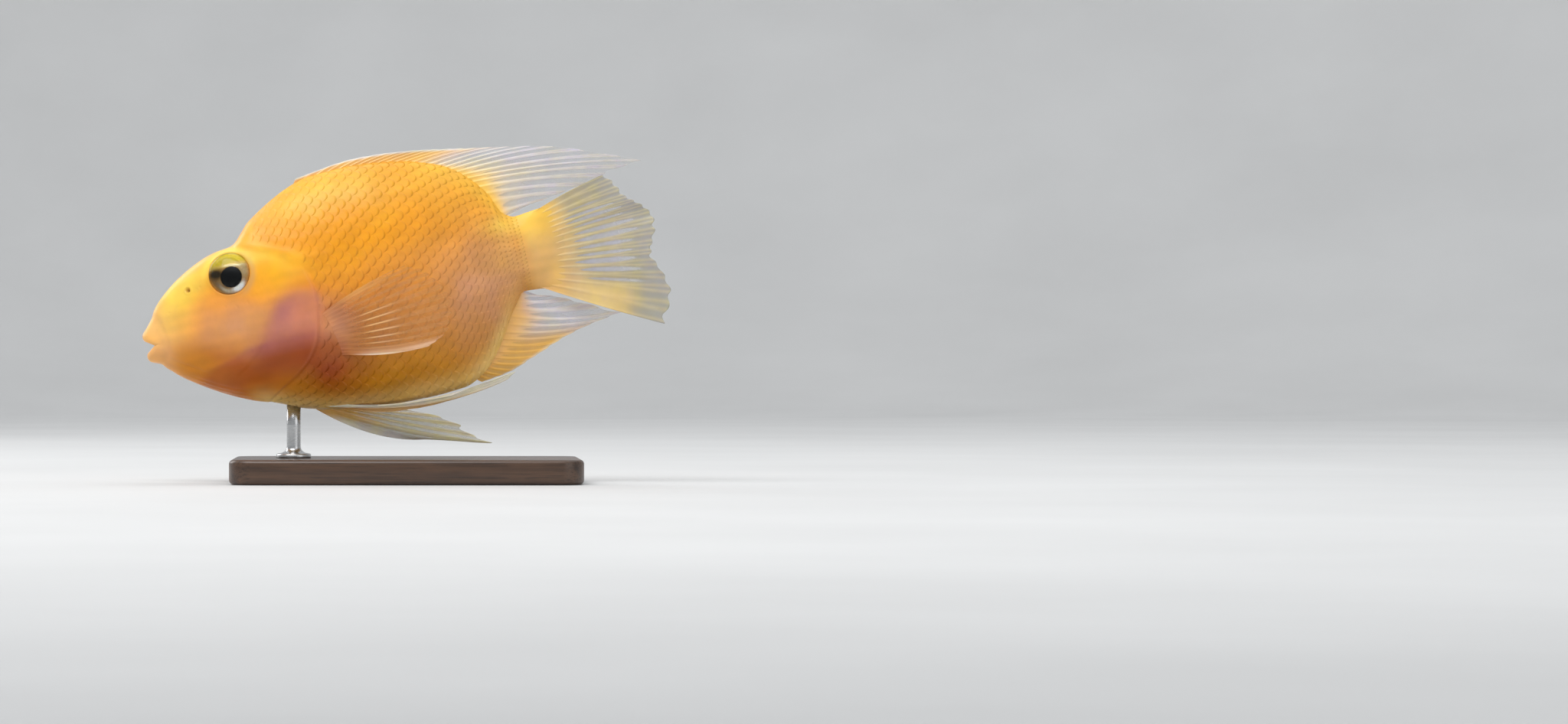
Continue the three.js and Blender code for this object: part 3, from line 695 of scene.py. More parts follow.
def make_scales(points, normals, paint):
    """Overlapping scales, each a thin plate that rises to a rounded free edge over the next ones."""
    a, b = SCALE_OUT, SCALE_ACROSS
    row, column, q = scale_places(points)
    place, across, tone = (between(grid, row, column) for grid in (points, normals, paint))
    u, v = place[..., 0], place[..., 2]
    onset = 1.8 + 7.6 * ramp(v, 12, 22)
    shown = ramp((u - head_margin(v)) / onset, 0.1, 1) * fade(u, SCALES_TO - 5, SCALES_TO)
    size = np.minimum(1, (back(u) - belly(u)) / 80)
    rise = SCALE.lift * size * (0.12 + 0.88 * a**1.3) * (1 - 0.3 * b**2)
    risen = 1 - (1 - shown) * (1 - a**4)
    rise = rise * risen - SCALE.dive * (1 - risen) - SCALE.dip * (a == 0)
    rise -= SCALE.tuck * b**6 * (1 - a**8)
    across = unit(across)
    top = place + rise[..., None] * across
    under = place + (np.minimum(rise, 0) - SCALE.under)[..., None] * across
    both = np.stack([top, under], 1)
    draw = np.random.default_rng(77)
    tint = 1 + SCALE.tint * draw.uniform(-1, 1, len(q))[:, None, None]
    # Each scale a little lighter towards its root, a painted sheen, and darker at its free edge, partly its
    # own outline and partly painted shade at the step.
    tint = tint * (1 + 0.015 * (1 - a) - 0.012 * np.clip((a + 0.25 * b**2 - 0.8) / 0.25, 0, 1))
    tone = np.clip(tone * tint[..., None], 0, 1)
    plate = sheet_faces(a.size, b.size)
    spread = 0.003 * np.tile(stacked(a, b / 2 + 0.5).reshape(-1, 2), (2, 1))
    middle = b.size // 2
    root = 0.99 * stacked(column[:, 0, middle] / SKIN_COLUMNS, row[:, 0, middle] / len(points))
    for name, on_side in (("scales_right", q < SCALE.rows / 2), ("scales_left", q >= SCALE.rows / 2)):
        kept = on_side & (shown[:, -1, 2:-2].min(1) > 0.9)
        starts = 2 * a.size * b.size * np.arange(kept.sum())
        faces = (plate + starts[:, None, None]).reshape(-1, 4)
        uv = (root[kept, None] + spread)[:, plate.ravel()]
        shade = np.stack([tone[kept]] * 2, 1)
        dress(make_mesh(name, to_scene(both[kept]), faces, shade, uv=uv), skin_look, "body_skin")


# Eyes


def from_eye(a, b, height, side):
    """From places on an eye's own axes to the scene."""
    centre, axes = eye_frame(side)
    return to_scene(centre + stacked(a, b, height) @ axes)


def iris_paint(a, b):
    """Silver ring, pale crescent, yellow-green top and dark patch in front of the black pupil."""
    from_pupil = np.hypot(a - PUPIL.a, b - PUPIL.b)
    bearing = np.degrees(np.arctan2(b - PUPIL.b, a - PUPIL.a))
    out = np.hypot(a, b)
    level = from_pupil * np.cos(np.radians(bearing) + PITCH)
    height = from_pupil * np.sin(np.radians(bearing) + PITCH)

    def arc(middle, half, at, width):
        """A soft stretch of ring round the pupil."""
        turned = (bearing - middle + 180) % 360 - 180
        return bell(turned, 0, half) * bell(from_pupil, at, width)

    paint = layered(
        (176, 128, 60), ((132, 98, 50), 0.8 * ramp(-a, 0, 4) * ramp(-b, -1, 4)),
        ((192, 168, 124), 0.9 * ramp(a, 1, 5) * ramp(4.5 - np.abs(b - 0.5), 0, 3)),
        ((214, 190, 44), ramp(b, 1.6, 3.6)), ((226, 190, 96), 0.8 * bell(b, 3.0, 0.6)),
        ((232, 164, 70), 0.7 * ramp(out, 6.4, 7.9) * fade(b, 1, 4)),
        ((176, 148, 30), 0.85 * ramp(out, 6.9, 7.9) * ramp(b, 2, 5)),
        ((176, 150, 108), 0.35 * bell(from_pupil, 4.65, 0.5)),
        ((250, 236, 184), bell(height - 0.08 * level, 4.4, 0.42) * np.exp(-(((level - 0.6) / 3.8) ** 4))),
        ((140, 118, 84), 0.8 * arc(-110, 60, 6.0, 0.7)), ((252, 255, 255), 2.0 * arc(-65, 27, 4.85, 0.78)),
        ((212, 202, 178), 0.9 * arc(-124, 30, 5.3, 0.55)),
        ((44, 36, 20), 1.3 * spot(a, b, (-4.7, 0.5), (3.3, 2.1), -12)),
    )
    rays = 1 + 0.05 * np.sin(np.radians(38 * bearing) + 3 * np.sin(np.radians(5 * bearing)))
    paint = paint * (rays + 0.04 * waves(a, b, 51, 1.6))[..., None]
    pupil = fade(from_pupil, PUPIL.radius - 0.1, PUPIL.radius + 0.22)
    return np.clip(layered(paint, ((6, 8, 11), pupil)), 0, 1)


def make_eye(name, side):
    """The eyeball, its flat iris and the lens that bulges through the pupil."""
    rings, columns, fillet = 96, 128, 0.02
    radius, depth, flat = EYEBALL.radius, EYEBALL.depth, EYEBALL.iris_level
    a, b = polar_grid(radius * np.sin(np.linspace(0, math.pi / 2, rings)) ** 0.9, columns)
    ball = depth * np.sqrt(np.clip(1 - (np.hypot(a, b) / (radius + 0.02)) ** 2, 0, 1))
    height = (ball + flat - np.sqrt((ball - flat) ** 2 + fillet)) / 2
    from_pupil = np.hypot(a - PUPIL.a, b - PUPIL.b)
    lens = np.sqrt(np.clip(1 - (from_pupil / PUPIL.radius) ** 2, 0, 1))
    height = height + 0.14 * bell(from_pupil, 4.6, 0.5) + EYEBALL.lens * lens
    turns = np.linspace(0, math.pi / 2, 12)[1:]
    low_a, low_b = polar_grid(radius * np.cos(turns), columns)
    low = -depth * np.sin(turns)[:, None] + 0 * low_a
    a, b, height = np.concatenate([a, low_a]), np.concatenate([b, low_b]), np.concatenate([height, low])
    paint = iris_paint(a, b)
    paint[rings:] = linear((120, 100, 70))
    return make_ringed(name, from_eye(a, b, height, side), paint, side)


def make_cornea(name, side):
    """A clear dome over the iris, closed underneath."""
    steps, reach = 30, 1.28
    turns = np.append(np.linspace(0, reach, steps), np.linspace(reach, 0, steps))
    inset = CORNEA_THICKNESS * np.repeat([0, 1], steps)
    a, b = polar_grid((EYE.radius - inset) * np.sin(turns), 96)
    height = ((EYE.depth - inset) * np.cos(turns))[:, None]
    return make_ringed(name, from_eye(a, b, height, side), order=side)


# Fins: root and tip give each ray's ends from s = 0 at the first ray to 1 at the last, bow how
# far it arches as a share of its length, side where it lies across the fish.

dorsal_base = curve_through([[65, 0], [83.4, 0], [101.8, 0], [119.3, 0], [130.5, 0], [140.6, 0]])
dorsal_upper = curve_through([
    [68.5, 45.4], [86.5, 47.8], [99.6, 47.7], [111, 46.5], [122, 44.8], [133.7, 42.6],
    [148, 40.0], [168.5, 35.2], [195.7, 24.3],
])
dorsal_hind = curve_through([[195.7, 24.3], [184.5, 22.7], [172, 20.1], [161.2, 18.2], [150, 17]])
tail_edge = curve_through([
    [179.7, 21.8], [184, 17.4], [186.6, 12.3], [190.6, 9.2], [193.8, 5.2], [194.8, -0.5],
    [192.3, -6.7], [191.7, -11.7], [194.2, -19.4], [195.1, -28], [190.5, -37.3],
])
anal_lower = curve_through([[120, -43.6], [131, -42.0], [143.5, -37.6], [158, -32.6], [176.2, -29.4]])
anal_hind = curve_through([[176.2, -29.4], [163, -22.6], [153, -18.1], [146.5, -16.4]])
pectoral_root = curve_through([[66.9, -6.2], [69.2, -13.6], [70.9, -22.0]])
pectoral_edge = curve_through([
    [101, 4.5], [107, 1.6], [112, -3.6], [114.6, -10.8], [113.4, -18.2], [110, -23.4], [104, -26.3],
])
hanging_root = curve_through([[55, -37.9], [60.2, -39.0], [65.5, -40.3]])
hanging_edge = curve_through([
    [97.9, -60.2], [119, -66.9], [113, -62.6], [108.5, -57.5], [101, -52.4], [90.6, -47.8],
])
folded_root = curve_through([[60, -38.6], [63.5, -39.6], [66.5, -40.6]])
folded_edge = curve_through([
    [107.8, -46], [132.6, -42.2], [130, -44.4], [122, -45.6], [110, -46.9], [94, -47.3],
])


def two_edges(first, second, corner):
    """One outline of two curves that meet at s = corner."""
    def place(s):
        on_first = (s < corner)[..., None]
        return np.where(on_first, first(s / corner), second((s - corner) / (1 - corner)))

    return place


def dorsal_root(s):
    u = dorsal_base(s)[..., 0]
    return stacked(u, back(u) - 2.5)


def anal_root(s):
    u = 116.5 + 24.7 * s
    return stacked(u, belly(u) + 2.4)


def caudal_side(s, t, u):
    ripple = 0.7 * np.sin(15 * s + 1) * t * t
    return sweep(u) + ripple + 2.0 * bell(s, 0.4, 0.08) * t**4


def pectoral_side(sign, spread):
    def side(s, t, u):
        root = pectoral_root(s)
        lift = 3.2 * (1 - np.exp(-7 * t)) + spread * t + 0.5 * t * t * np.sin(14 * s)
        return sign * (flank(root[..., 0], root[..., 1]) - 1.6 + lift)

    return side


# Each fin's colours and how clear it is, at s down its rays and t out along them. ray is 1 on a
# ray; off is the way from the nearest ray, half way to the next at 0.5.
YELLOW, CREAM, PALE = (252, 202, 84), (232, 214, 164), (240, 234, 220)
LILAC, FILM = (214, 208, 216), (186, 184, 190)


def gap(off, width):
    """The clear stretch of skin between two rays."""
    edge = 0.5 - np.maximum(width, 0.05)
    return ramp(np.abs(off), edge, 0.5 - 0.45 * (0.5 - edge)) * ramp(width, 0.04, 0.16)


def dorsal_paint(s, t, ray, off):
    spiny = fade(s, 0.42, 0.6)
    window = gap(off, 0.38 * ramp(t, 0.06, 0.3))
    paint = layered(
        LILAC, (FILM, window), (PALE, 0.5 * ray), (CREAM, 0.6 * fade(t, 0.2, 0.6)),
        ((255, 196, 80), spiny * (1 - 0.3 * t)), (YELLOW, fade(t, 0.04, 0.42) * fade(t, 0.02, 0.3)),
        # The spiny part's pale upper edge is partly the fin's own pale margin and partly a painted
        # highlight.
        ((228, 164, 66), 0.4 * spiny * window), (PALE, spiny * ramp(t, 0.74, 0.98)),
    )
    clear = (0.3 * ramp(t, 0.1, 0.8) + 0.55 * window) * (1 - 0.9 * spiny)
    return paint, clear + 0.1 * spiny * t * t


def caudal_paint(s, t, ray, off):
    inner = ramp(s, 0.06, 0.3) * fade(s, 0.8, 0.9) * (1 + 0.4 * np.sin(29 * s))
    window = gap(off, (0.05 + 0.29 * inner) * ramp(t, 0.28, 0.52) * fade(t, 0.66, 0.98))
    lower = ramp(s, 0.8, 0.93) * fade(t, 0.6, 0.85)
    paint = layered(
        tail_foot(s, t), (FILM, window), ((226, 210, 164), 0.5 * ray * ramp(t, 0.15, 0.4)),
        ((240, 206, 132), 0.8 * lower * ramp(t, 0.15, 0.4)),
    )
    return paint, 0.42 * ramp(t, 0.35, 1.0) * (1 - 0.4 * ray) * (1 - 0.6 * lower) + 0.4 * window


def anal_paint(s, t, ray, off):
    front = fade(s, 0.45, 0.72)
    window = gap(off, 0.34 * ramp(t, 0.1, 0.4))
    paint = layered(
        LILAC, (FILM, window), (PALE, 0.6 * ray), ((236, 182, 86), front),
        ((238, 184, 104), fade(t, 0.04, 0.42)), ((204, 158, 84), 0.4 * front * window),
        (PALE, 0.5 * front * ramp(t, 0.84, 1.0)),
    )
    return paint, (0.24 * ramp(t, 0.15, 0.8) + 0.5 * window) * (1 - 0.75 * front)


def pectoral_paint(s, t, ray, off):
    upper, lower = fade(s, 0.0, 0.2) * fade(t, 0.4, 0.9), ramp(s, 0.8, 0.95)
    # A painted highlight along the lower margin, where the fin curls over.
    fold = ramp(s, 0.93, 0.985) * ramp(t, 0.08, 0.2) * fade(t, 0.5, 0.75)
    glint = ray**3 * ramp(t, 0.22, 0.34) * fade(t, 0.42, 0.62) * ramp(s, 0.3, 0.42) * fade(s, 0.72, 0.85)
    paint = layered(
        (212, 146, 84), ((226, 168, 106), 0.4 * ray), ((255, 192, 100), 0.8 * upper),
        ((220, 176, 142), 0.8 * lower), ((218, 152, 114), 0.6 * fade(t, 0.04, 0.42)),
        ((255, 214, 160), 0.8 * glint), ((255, 232, 206), fold),
    )
    clear = (0.64 + 0.12 * (1 - s)) * ramp(t, 0.0, 0.3) * (1 - 0.12 * ray)
    clear = clear + 0.1 * gap(off, 0.4 * ramp(t, 0.05, 0.3))
    return paint, clear * (1 - 0.5 * upper) * (1 - 0.5 * lower) * (1 - 0.6 * glint) + 0.16 * ramp(t, 0.7, 1)


def folded_paint(s, t, ray, off):
    first = fade(s, 0.26, 0.46)
    paint = layered(
        (224, 174, 106), ((236, 198, 136), ray), ((250, 242, 216), first),
        ((224, 166, 86), fade(t, 0.04, 0.42) * (1 - first)), (PALE, 0.85 * ramp(t, 0.72, 0.95)),
    )
    return paint, 0.45 * ramp(t, 0.6, 1.0) * (1 - 0.7 * ray) + 0.15 * (1 - ray) * (1 - first)


def hanging_paint(s, t, ray, off):
    first = fade(s, 0.06, 0.16)
    window = gap(off, 0.34 * ramp(t, 0.06, 0.4))
    paint = layered(
        (228, 218, 178), ((190, 188, 170), window), ((255, 248, 216), 0.85 * ray),
        ((244, 198, 112), fade(t, 0.1, 0.5)), ((255, 252, 240), first * ramp(t, 0.1, 0.3)),
    )
    return paint, (0.22 * ramp(t, 0.1, 0.9) + 0.42 * window) * (1 - 0.8 * first)


PECTORAL = dict(
    rays=14, spines=0, root=pectoral_root, tip=pectoral_edge, bow=lambda s: 0.07 - 0.17 * s,
    notch=0.02, flesh=0.7, ridge=0.22, paint=pectoral_paint,
)
FINS = {
    "dorsal_fin": Named(
        rays=27, spines=16, root=dorsal_root,
        tip=two_edges(dorsal_upper, dorsal_hind, 20 / 26), bow=lambda s: 0.06,
        side=lambda s, t, u: sweep(dorsal_base(s)[..., 0]) + 2.2 * s * t + 0.5 * t * t * np.sin(17 * s),
        notch=0.03, flesh=0.5, ridge=0.38, paint=dorsal_paint,
    ),
    "caudal_fin": Named(
        rays=16, spines=0, root=lambda s: stacked(148, 12.4 - 25.8 * s),
        tip=tail_edge, bow=lambda s: 0.05 - 0.07 * s, side=caudal_side,
        notch=0.025, flesh=0.6, ridge=0.38, paint=caudal_paint,
    ),
    "anal_fin": Named(
        rays=16, spines=7, root=anal_root,
        tip=two_edges(anal_lower, anal_hind, 11 / 15), bow=lambda s: -0.09,
        side=lambda s, t, u: sweep(anal_root(s)[..., 0]) + 1.8 * s * t + 0.5 * t * t * np.sin(13 * s),
        notch=0.035, flesh=0.5, ridge=0.38, paint=anal_paint,
    ),
    "pectoral_fin_left": Named(**PECTORAL, side=pectoral_side(-1, 9)),
    "pectoral_fin_right": Named(**PECTORAL, side=pectoral_side(1, 13)),
    "pelvic_fin_left": Named(
        rays=6, spines=1, root=folded_root, tip=folded_edge,
        bow=lambda s: -0.08 - 0.07 * np.minimum(1, 5 * s),
        side=lambda s, t, u: -4.6 - 4.4 * (1 - s) * np.sqrt(t) - 1.4 * s * t,
        notch=0.03, flesh=0.6, ridge=0.38, paint=folded_paint,
    ),
    "pelvic_fin_right": Named(
        rays=6, spines=1, root=hanging_root, tip=hanging_edge,
        bow=lambda s: -0.02 - 0.18 * (1 - s) ** 6,
        side=lambda s, t, u: 4.6 + 8.5 * t - 2.5 * s * t,
        notch=0.04, flesh=0.6, ridge=0.38, paint=hanging_paint,
    ),
}


def ray_reach(name, s, t, off):
    """How much of its full length the fin has at each place: uneven rays, and notches between them."""
    spaces = FINS[name].rays - 1
    draw = np.random.default_rng(sum(map(ord, name)))
    lengths = 1 - 0.018 * draw.random(spaces + 1)
    notches = FINS[name].notch * draw.uniform(0.3, 1.4, spaces)
    depth = notches[np.minimum((s * spaces).astype(int), spaces - 1)]
    length = np.interp(s, np.linspace(0, 1, spaces + 1), lengths)
    return length - depth * np.sin(math.pi * off) ** 2 * ramp(t, 0.5, 1)


def fin_sheet(fin, s, way):
    """The middle of the fin's sheet, each ray an arc from its root to its tip."""
    start, end = fin.root(s), fin.tip(s)
    bend = (start + end) / 2
    bend[..., 1] += fin.bow(s) * np.linalg.norm(end - start, axis=-1)
    w = way[..., None]
    u, v = np.moveaxis((1 - w) ** 2 * start + 2 * w * (1 - w) * bend + w * w * end, -1, 0)
    return stacked(u, fin.side(s, way, u), v)


def make_fin(name):
    """A closed sheet with a ridge on both faces for each ray. Soft rays fork towards the edge."""
    fin = FINS[name]
    spaces = fin.rays - 1
    columns = spaces * (30 if spaces < 10 else 14) + 1
    s, t = np.meshgrid(np.linspace(0, 1, columns), np.linspace(0, 1, FIN_ROWS + 1), indexing="ij")
    nearest = np.round(s * spaces)
    off = s * spaces - nearest
    soft = nearest >= fin.spines
    fork, width = 0.2 * soft * ramp(t, 0.42, 0.95), 0.13 + 0.05 * (1 - t)
    ray = np.maximum(bell(off, fork, width), bell(off, -fork, width))
    way = t * ray_reach(name, s, t, off)
    points = fin_sheet(fin, s, way)
    ridge, skin = fin.ridge * (1 - 0.62 * t), 0.15 * (1 - 0.5 * t)
    joints = 1 + 0.10 * soft * ray * np.sin(t * FIN_ROWS * 1.3) * ramp(t, 0.1, 0.3)
    half = skin + (ridge - skin) * ray * joints + fin.flesh * np.exp(-9 * t)
    half = (half * (1 - 0.55 * ramp(t, 0.97, 1.0)))[..., None] * grid_normals(points, False)
    paint, clear = fin.paint(s, t, ray, off)
    if name.startswith("pectoral"):
        paint = layered(skin_paint(points[..., 0], points[..., 2]), (paint, ramp(way, 0.06, 0.4)))
    return make_mesh(
        name.replace("_fin", "_fin_skin"), to_scene([points + half, points - half]),
        sheet_faces(*s.shape), np.stack([paint] * 2), np.clip([clear] * 2, 0, 0.94), sheet_uv(*s.shape),
    )


# Stand


def make_base():
    """A plate with rounded corners and a rounded edge above and below."""
    low, high = (np.array(corner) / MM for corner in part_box("stand_base"))
    corner, edge, steps = BOARD.corner, BOARD.edge, 17
    half, middle = (high - low) / 2, (high + low) / 2
    quarter = math.pi / 2
    turns = np.concatenate([np.linspace(k * quarter, (k + 1) * quarter, steps) for k in range(4)])
    signs = np.repeat([[1, 1], [-1, 1], [-1, -1], [1, -1]], steps, 0).T
    profile = [(edge * (1 - math.cos(k)), edge * (1 - math.sin(k))) for k in np.linspace(0, quarter, 7)]
    profile += [(2 * half[2] - rise, inset) for rise, inset in profile[::-1]]
    rings = []
    for rise, inset in profile:
        x = signs[0] * (half[0] - corner) + (corner - inset) * np.cos(turns)
        y = signs[1] * (half[1] - corner) + (corner - inset) * np.sin(turns)
        rings.append(stacked(x + middle[0], y + middle[1], low[2] + rise))
    centre = np.array([middle[0], middle[1], 0])
    under, over = rings[0] - centre, rings[-1] - centre
    for share in (0.75, 0.5, 0.25, 0.0):
        rings.insert(0, centre + under * [share, share, 1])
        rings.append(centre + over * [share, share, 1])
    return make_ringed("base_board", np.array(rings) * MM)


def make_rod():
    """A turned steel rod with a rounded foot, up into the belly."""
    low, high = (np.array(corner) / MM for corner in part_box("stand_rod"))
    r, foot, height = ROD.radius, ROD.foot_radius, ROD.foot_height
    profile = [
        (0, 0), (foot - 0.4, 0), (foot - 0.1, 0.12), (foot, 0.45),
        (foot, height * 0.42), (foot - 0.15, height * 0.6), (foot - 0.6, height * 0.72),
    ]
    for t in np.arange(1, 9) / 8:
        profile.append((r + (foot - 1.4 - r) * (1 - t) ** 2.2, height * 0.74 + 2.6 * t**1.3))
    top = high[2] - low[2] + 0.6
    profile += [(r, 12), (r, top), (0, top)]
    profile = np.array(profile) + [0, low[2] - 0.3]
    return make_round("rod_turned", profile * MM, 64, ROD.x * MM)


# Materials


class Nodes:
    """Short ways to lay out one material's nodes."""

    def __init__(self, name):
        self.material = bpy.data.materials.new(name)
        self.material.use_nodes = True
        self.tree = self.material.node_tree
        self.tree.nodes.clear()

    def add(self, kind, inputs=None, output=0, **settings):
        """Adds a node, whose inputs are values or other nodes' outputs, and gives its output."""
        node = self.tree.nodes.new("ShaderNode" + kind)
        for key, value in settings.items():
            setattr(node, key, value)
        for key, value in (inputs or {}).items():
            if isinstance(value, bpy.types.NodeSocket):
                self.tree.links.new(value, node.inputs[key])
            else:
                node.inputs[key].default_value = value
        return node.outputs[output]

    def noise(self, scale, detail=3.0, stretch=(1, 1, 1), roughness=0.5, place=None):
        place = place or self.add("TexCoord", output="Object")
        place = self.add("Mapping", {"Vector": place, "Scale": stretch})
        inputs = {"Vector": place, "Scale": scale, "Detail": detail, "Roughness": roughness}
        return self.add("TexNoise", inputs)

    def fit(self, value, low, high, start=0.3, end=0.7):
        inputs = {"Value": value, "From Min": start, "From Max": end, "To Min": low, "To Max": high}
        return self.add("MapRange", inputs)

    def mix(self, share, first, second, kind="MIX"):
        inputs = {0: share, 6: first, 7: second}
        return self.add("Mix", inputs, 2, data_type="RGBA", blend_type=kind)

    def painted(self, red, green, blue):
        """The piece's own colours, multiplied by a fine mottle."""
        mottle = self.add("CombineColor", {"Red": red, "Green": green, "Blue": blue})
        paint = self.add("Attribute", output="Color", attribute_name="Paint")
        return self.mix(1.0, paint, mottle, "MULTIPLY")

    def bump(self, height, distance, strength, normal=None):
        inputs = {"Height": height, "Distance": distance, "Strength": strength}
        if normal is not None:
            inputs["Normal"] = normal
        return self.add("Bump", inputs)

    def finish(self, shader):
        end = self.tree.nodes.new("ShaderNodeOutputMaterial")
        self.tree.links.new(shader, end.inputs["Surface"])
        return self.material

    def principled(self, inputs):
        return self.finish(self.add("BsdfPrincipled", inputs))


def skin_material():
    """Moist skin: soft light under a thin clear coat, with fine grain."""
    n = Nodes("fish_skin")
    mottle = n.fit(n.noise(140, 4), 0.93, 1.06)
    grain = n.bump(n.noise(260, 4), 0.00016, 0.35, n.bump(n.noise(1500), 0.00005, 0.5))
    return n.principled({
        "Base Color": n.painted(mottle, mottle, n.fit(n.noise(90), 0.86, 1.12)),
        "Roughness": n.fit(n.noise(220, 4), 0.34, 0.5), "Normal": grain,
        "Subsurface Weight": 0.12, "Subsurface Radius": (1.0, 0.45, 0.2), "Subsurface Scale": 0.0022,
        "Specular IOR Level": 0.22, "Coat Weight": 0.12, "Coat Roughness": 0.16, "Coat IOR": 1.4,
    })


def fin_material():
    """Clear skin between rays, more see-through towards the edge."""
    n = Nodes("fin_skin_film")
    fleck = n.noise(200)
    tone = n.painted(n.fit(fleck, 0.94, 1.05), n.fit(fleck, 0.93, 1.05), n.fit(n.noise(120), 0.85, 1.1))
    clear = n.add("Attribute", output="Fac", attribute_name="Clear")
    solid = n.add("Math", {0: 1.0, 1: clear}, operation="SUBTRACT")
    return n.principled({
        "Base Color": tone, "Roughness": n.fit(n.noise(300), 0.3, 0.45),
        "Normal": n.bump(n.noise(1800, 2), 0.00004, 0.5), "Alpha": solid,
        "Subsurface Weight": 0.1, "Subsurface Radius": (1.0, 0.7, 0.4), "Subsurface Scale": 0.001,
        "Coat Weight": 0.25, "Coat Roughness": 0.2,
    })


def iris_material():
    """Matt flecked colours with a faint metal shine."""
    n = Nodes("eye_iris")
    fleck = n.fit(n.noise(1600, 4), 0.9, 1.08)
    return n.principled({
        "Base Color": n.painted(fleck, fleck, n.fit(n.noise(900), 0.9, 1.05)), "Metallic": 0.1,
        "Roughness": n.fit(n.noise(900), 0.3, 0.38), "Specular IOR Level": 0.08,
        "Normal": n.bump(n.noise(1800, 2), 0.00003, 0.15),
    })


def cornea_material():
    """A clear film that only reflects."""
    n = Nodes("eye_cornea")
    gloss = n.add("BsdfGlossy", {"Roughness": 0.03})
    edge = n.add("Fresnel", {"IOR": 1.22})
    share = n.mix(1.0, edge, n.fit(n.noise(700, 2), 0.9, 1.0), "MULTIPLY")
    return n.finish(n.add("MixShader", {0: share, 1: n.add("BsdfTransparent"), 2: gloss}))


def wood_material():
    """Dark stained hardwood with long grain and fine pores under satin varnish."""
    n = Nodes("dark_wood")
    place = n.add("TexCoord", output="Object")
    warp = n.noise(18, 3, (0.6, 3.0, 3.0))
    drift = n.add("CombineXYZ", {
        "X": 0.0, "Y": n.fit(warp, -0.008, 0.008, 0, 1), "Z": n.fit(warp, -0.004, 0.004, 0, 1),
    })
    moved = n.add("VectorMath", {0: place, 1: drift}, operation="ADD")
    rings = n.noise(22, 6, (0.35, 9.0, 6.0), 0.6, moved)
    pores = n.noise(60, 5, (0.5, 26.0, 26.0), 0.7)
    tone = n.mix(n.fit(rings, 0, 1, 0.32, 0.68), (0.030, 0.014, 0.007, 1), (0.115, 0.055, 0.026, 1))
    return n.principled({
        "Base Color": n.mix(n.fit(pores, 0.75, 0.0, 0.36, 0.5), tone, (0.012, 0.006, 0.003, 1)),
        "Roughness": n.fit(rings, 0.38, 0.52), "Normal": n.bump(pores, 0.0002, 0.25),
        "Coat Weight": 0.4, "Coat Roughness": 0.16,
    })


def steel_material():
    """Satin steel with fine turning marks."""
    n = Nodes("satin_steel")
    marks = n.noise(90, 2, (1, 1, 40))
    return n.principled({
        "Base Color": n.mix(n.fit(marks, 0, 1), (0.55, 0.56, 0.57, 1), (0.63, 0.63, 0.63, 1)),
        "Metallic": 1.0, "Roughness": n.fit(marks, 0.24, 0.32), "Normal": n.bump(marks, 0.00001, 0.15),
    })


def floor_material():
    """Pale plaster with faint clouds."""
    n = Nodes("pale_floor")
    tone = n.mix(n.fit(n.noise(6, 4), 0, 1), (0.62, 0.62, 0.615, 1), (0.66, 0.66, 0.655, 1))
    return n.principled({"Base Color": tone, "Roughness": 0.75})


def dress(piece, material, slot, *nodes):
    piece.data.materials.append(material)
    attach(piece, "root")
    if nodes:
        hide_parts(*nodes)


skin_look, fin_look, iris_look = skin_material(), fin_material(), iris_material()
cornea_look = cornea_material()
surface, outward, tones = skin_surface()
dress(make_skin(surface, tones), skin_look, "body_skin", "head", "trunk", "tail_stem")
make_scales(surface, outward, tones)
for fin_name in FINS:
    dress(make_fin(fin_name), fin_look, "fin_skin", fin_name)
for eye_name, eye_side in (("left", -1), ("right", 1)):
    dress(make_eye("eyeball_" + eye_name, eye_side), iris_look, "eye", "eye_" + eye_name)
    dress(make_cornea("cornea_" + eye_name, eye_side), cornea_look, "eye")
dress(make_base(), wood_material(), "stand_wood", "stand_base")
dress(make_rod(), steel_material(), "stand_steel", "stand_rod")


# Stage, light and camera


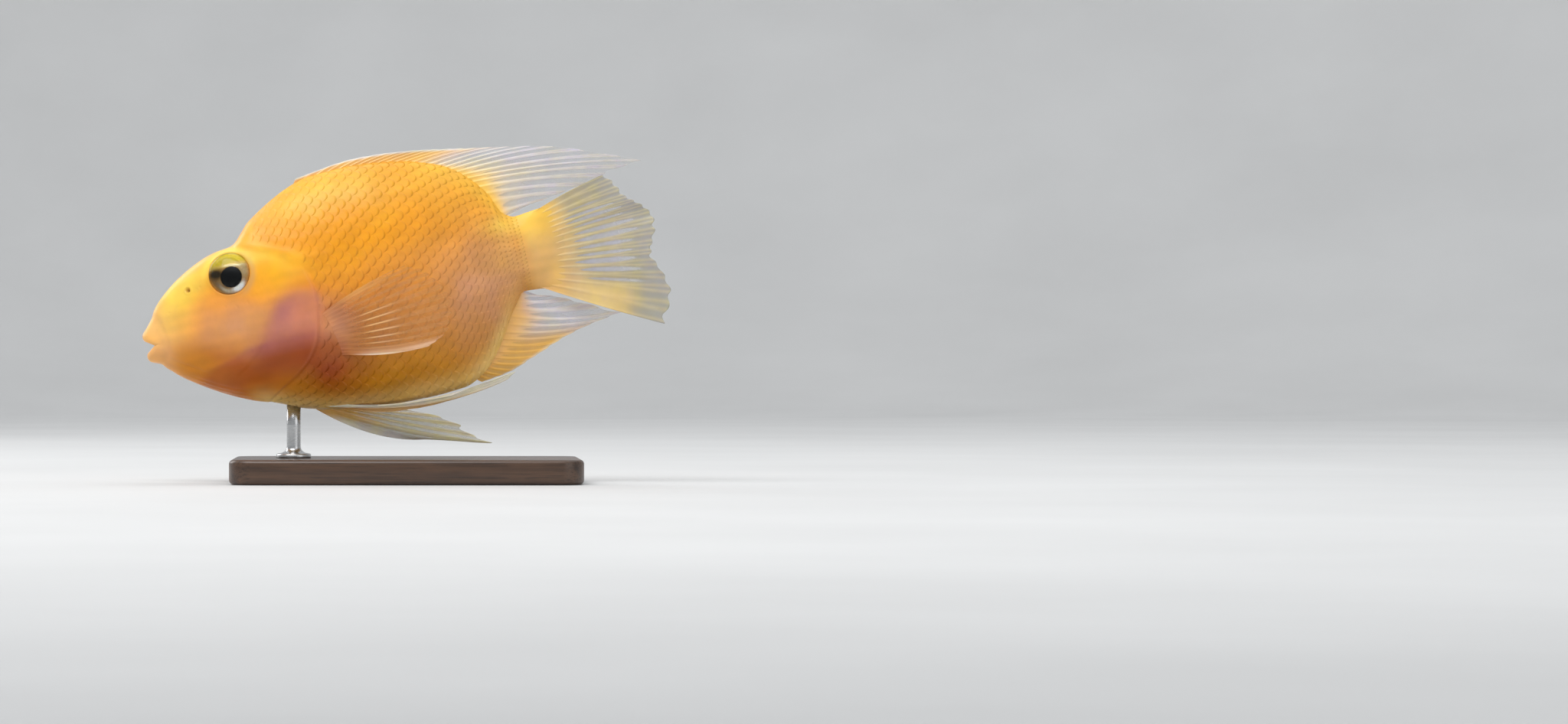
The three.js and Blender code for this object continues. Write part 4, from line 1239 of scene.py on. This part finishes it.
def make_floor():
    """A round pale floor that curves up into a plain background on every side."""
    flat, bend, high, sunk = 2.2, 1.2, 3.2, 0.0002
    curve = [(flat + bend * math.sin(k), bend * (1 - math.cos(k))) for k in np.arange(1, 17) * math.pi / 32]
    line = np.array([(0, 0), (0.6, 0), (flat, 0), *curve, (flat + bend, high)])
    floor = make_round("floor", line - [0, sunk], 96, order=-1)
    floor.data.materials.append(floor_material())


def add_light(name, place, target, size, power):
    data = bpy.data.lights.new(name, "AREA")
    data.shape = "RECTANGLE"
    data.size, data.size_y = size
    data.energy = power
    light, aim = add_object(name, data), add_object(name + "_aim")
    light.location, aim.location = place, target
    track = light.constraints.new("TRACK_TO")
    track.target = aim
    track.track_axis, track.up_axis = "TRACK_NEGATIVE_Z", "UP_Y"


def light_scene():
    middle = (0.0, 0.0, 0.07)
    add_light("key", (-0.35, -0.55, 1.0), middle, (0.9, 0.6), 8.5)
    add_light("fill", (0.9, -0.9, 0.45), middle, (0.8, 0.8), 2)
    add_light("top", (0.15, 0.35, 1.1), middle, (1.0, 0.7), 3)
    add_light("rim", (-0.8, 0.7, 0.5), middle, (0.5, 0.7), 3)
    add_light("wall", (0.3, 0.9, 2.2), (0.4, 3.4, 0.8), (2.0, 1.0), 18)
    world = bpy.data.worlds.new("studio")
    bpy.context.scene.world = world
    world.use_nodes = True
    ground = world.node_tree.nodes["Background"]
    ground.inputs["Color"].default_value = (0.93, 0.96, 1.0, 1)
    ground.inputs["Strength"].default_value = 0.8


def place_camera():
    """Level with the fish's lower flank, square to its side, shifted to the photograph's frame."""
    wide, high = FRAME_PIXELS
    data = bpy.data.cameras.new("camera")
    data.sensor_width = 36
    data.lens = data.sensor_width * CAMERA_DISTANCE / (wide * MM_PER_PIXEL)
    data.shift_x = (wide / 2 - ORIGIN_PIXEL[0]) / wide
    camera = add_object("camera", data)
    level = (ORIGIN_PIXEL[1] - high / 2) * MM_PER_PIXEL
    camera.location = (0, -CAMERA_DISTANCE * MM, level * MM)
    camera.rotation_euler = (math.pi / 2, 0, 0)
    bpy.context.scene.camera = camera


make_floor()
light_scene()
place_camera()
bpy.context.scene.view_settings.view_transform = "Standard"
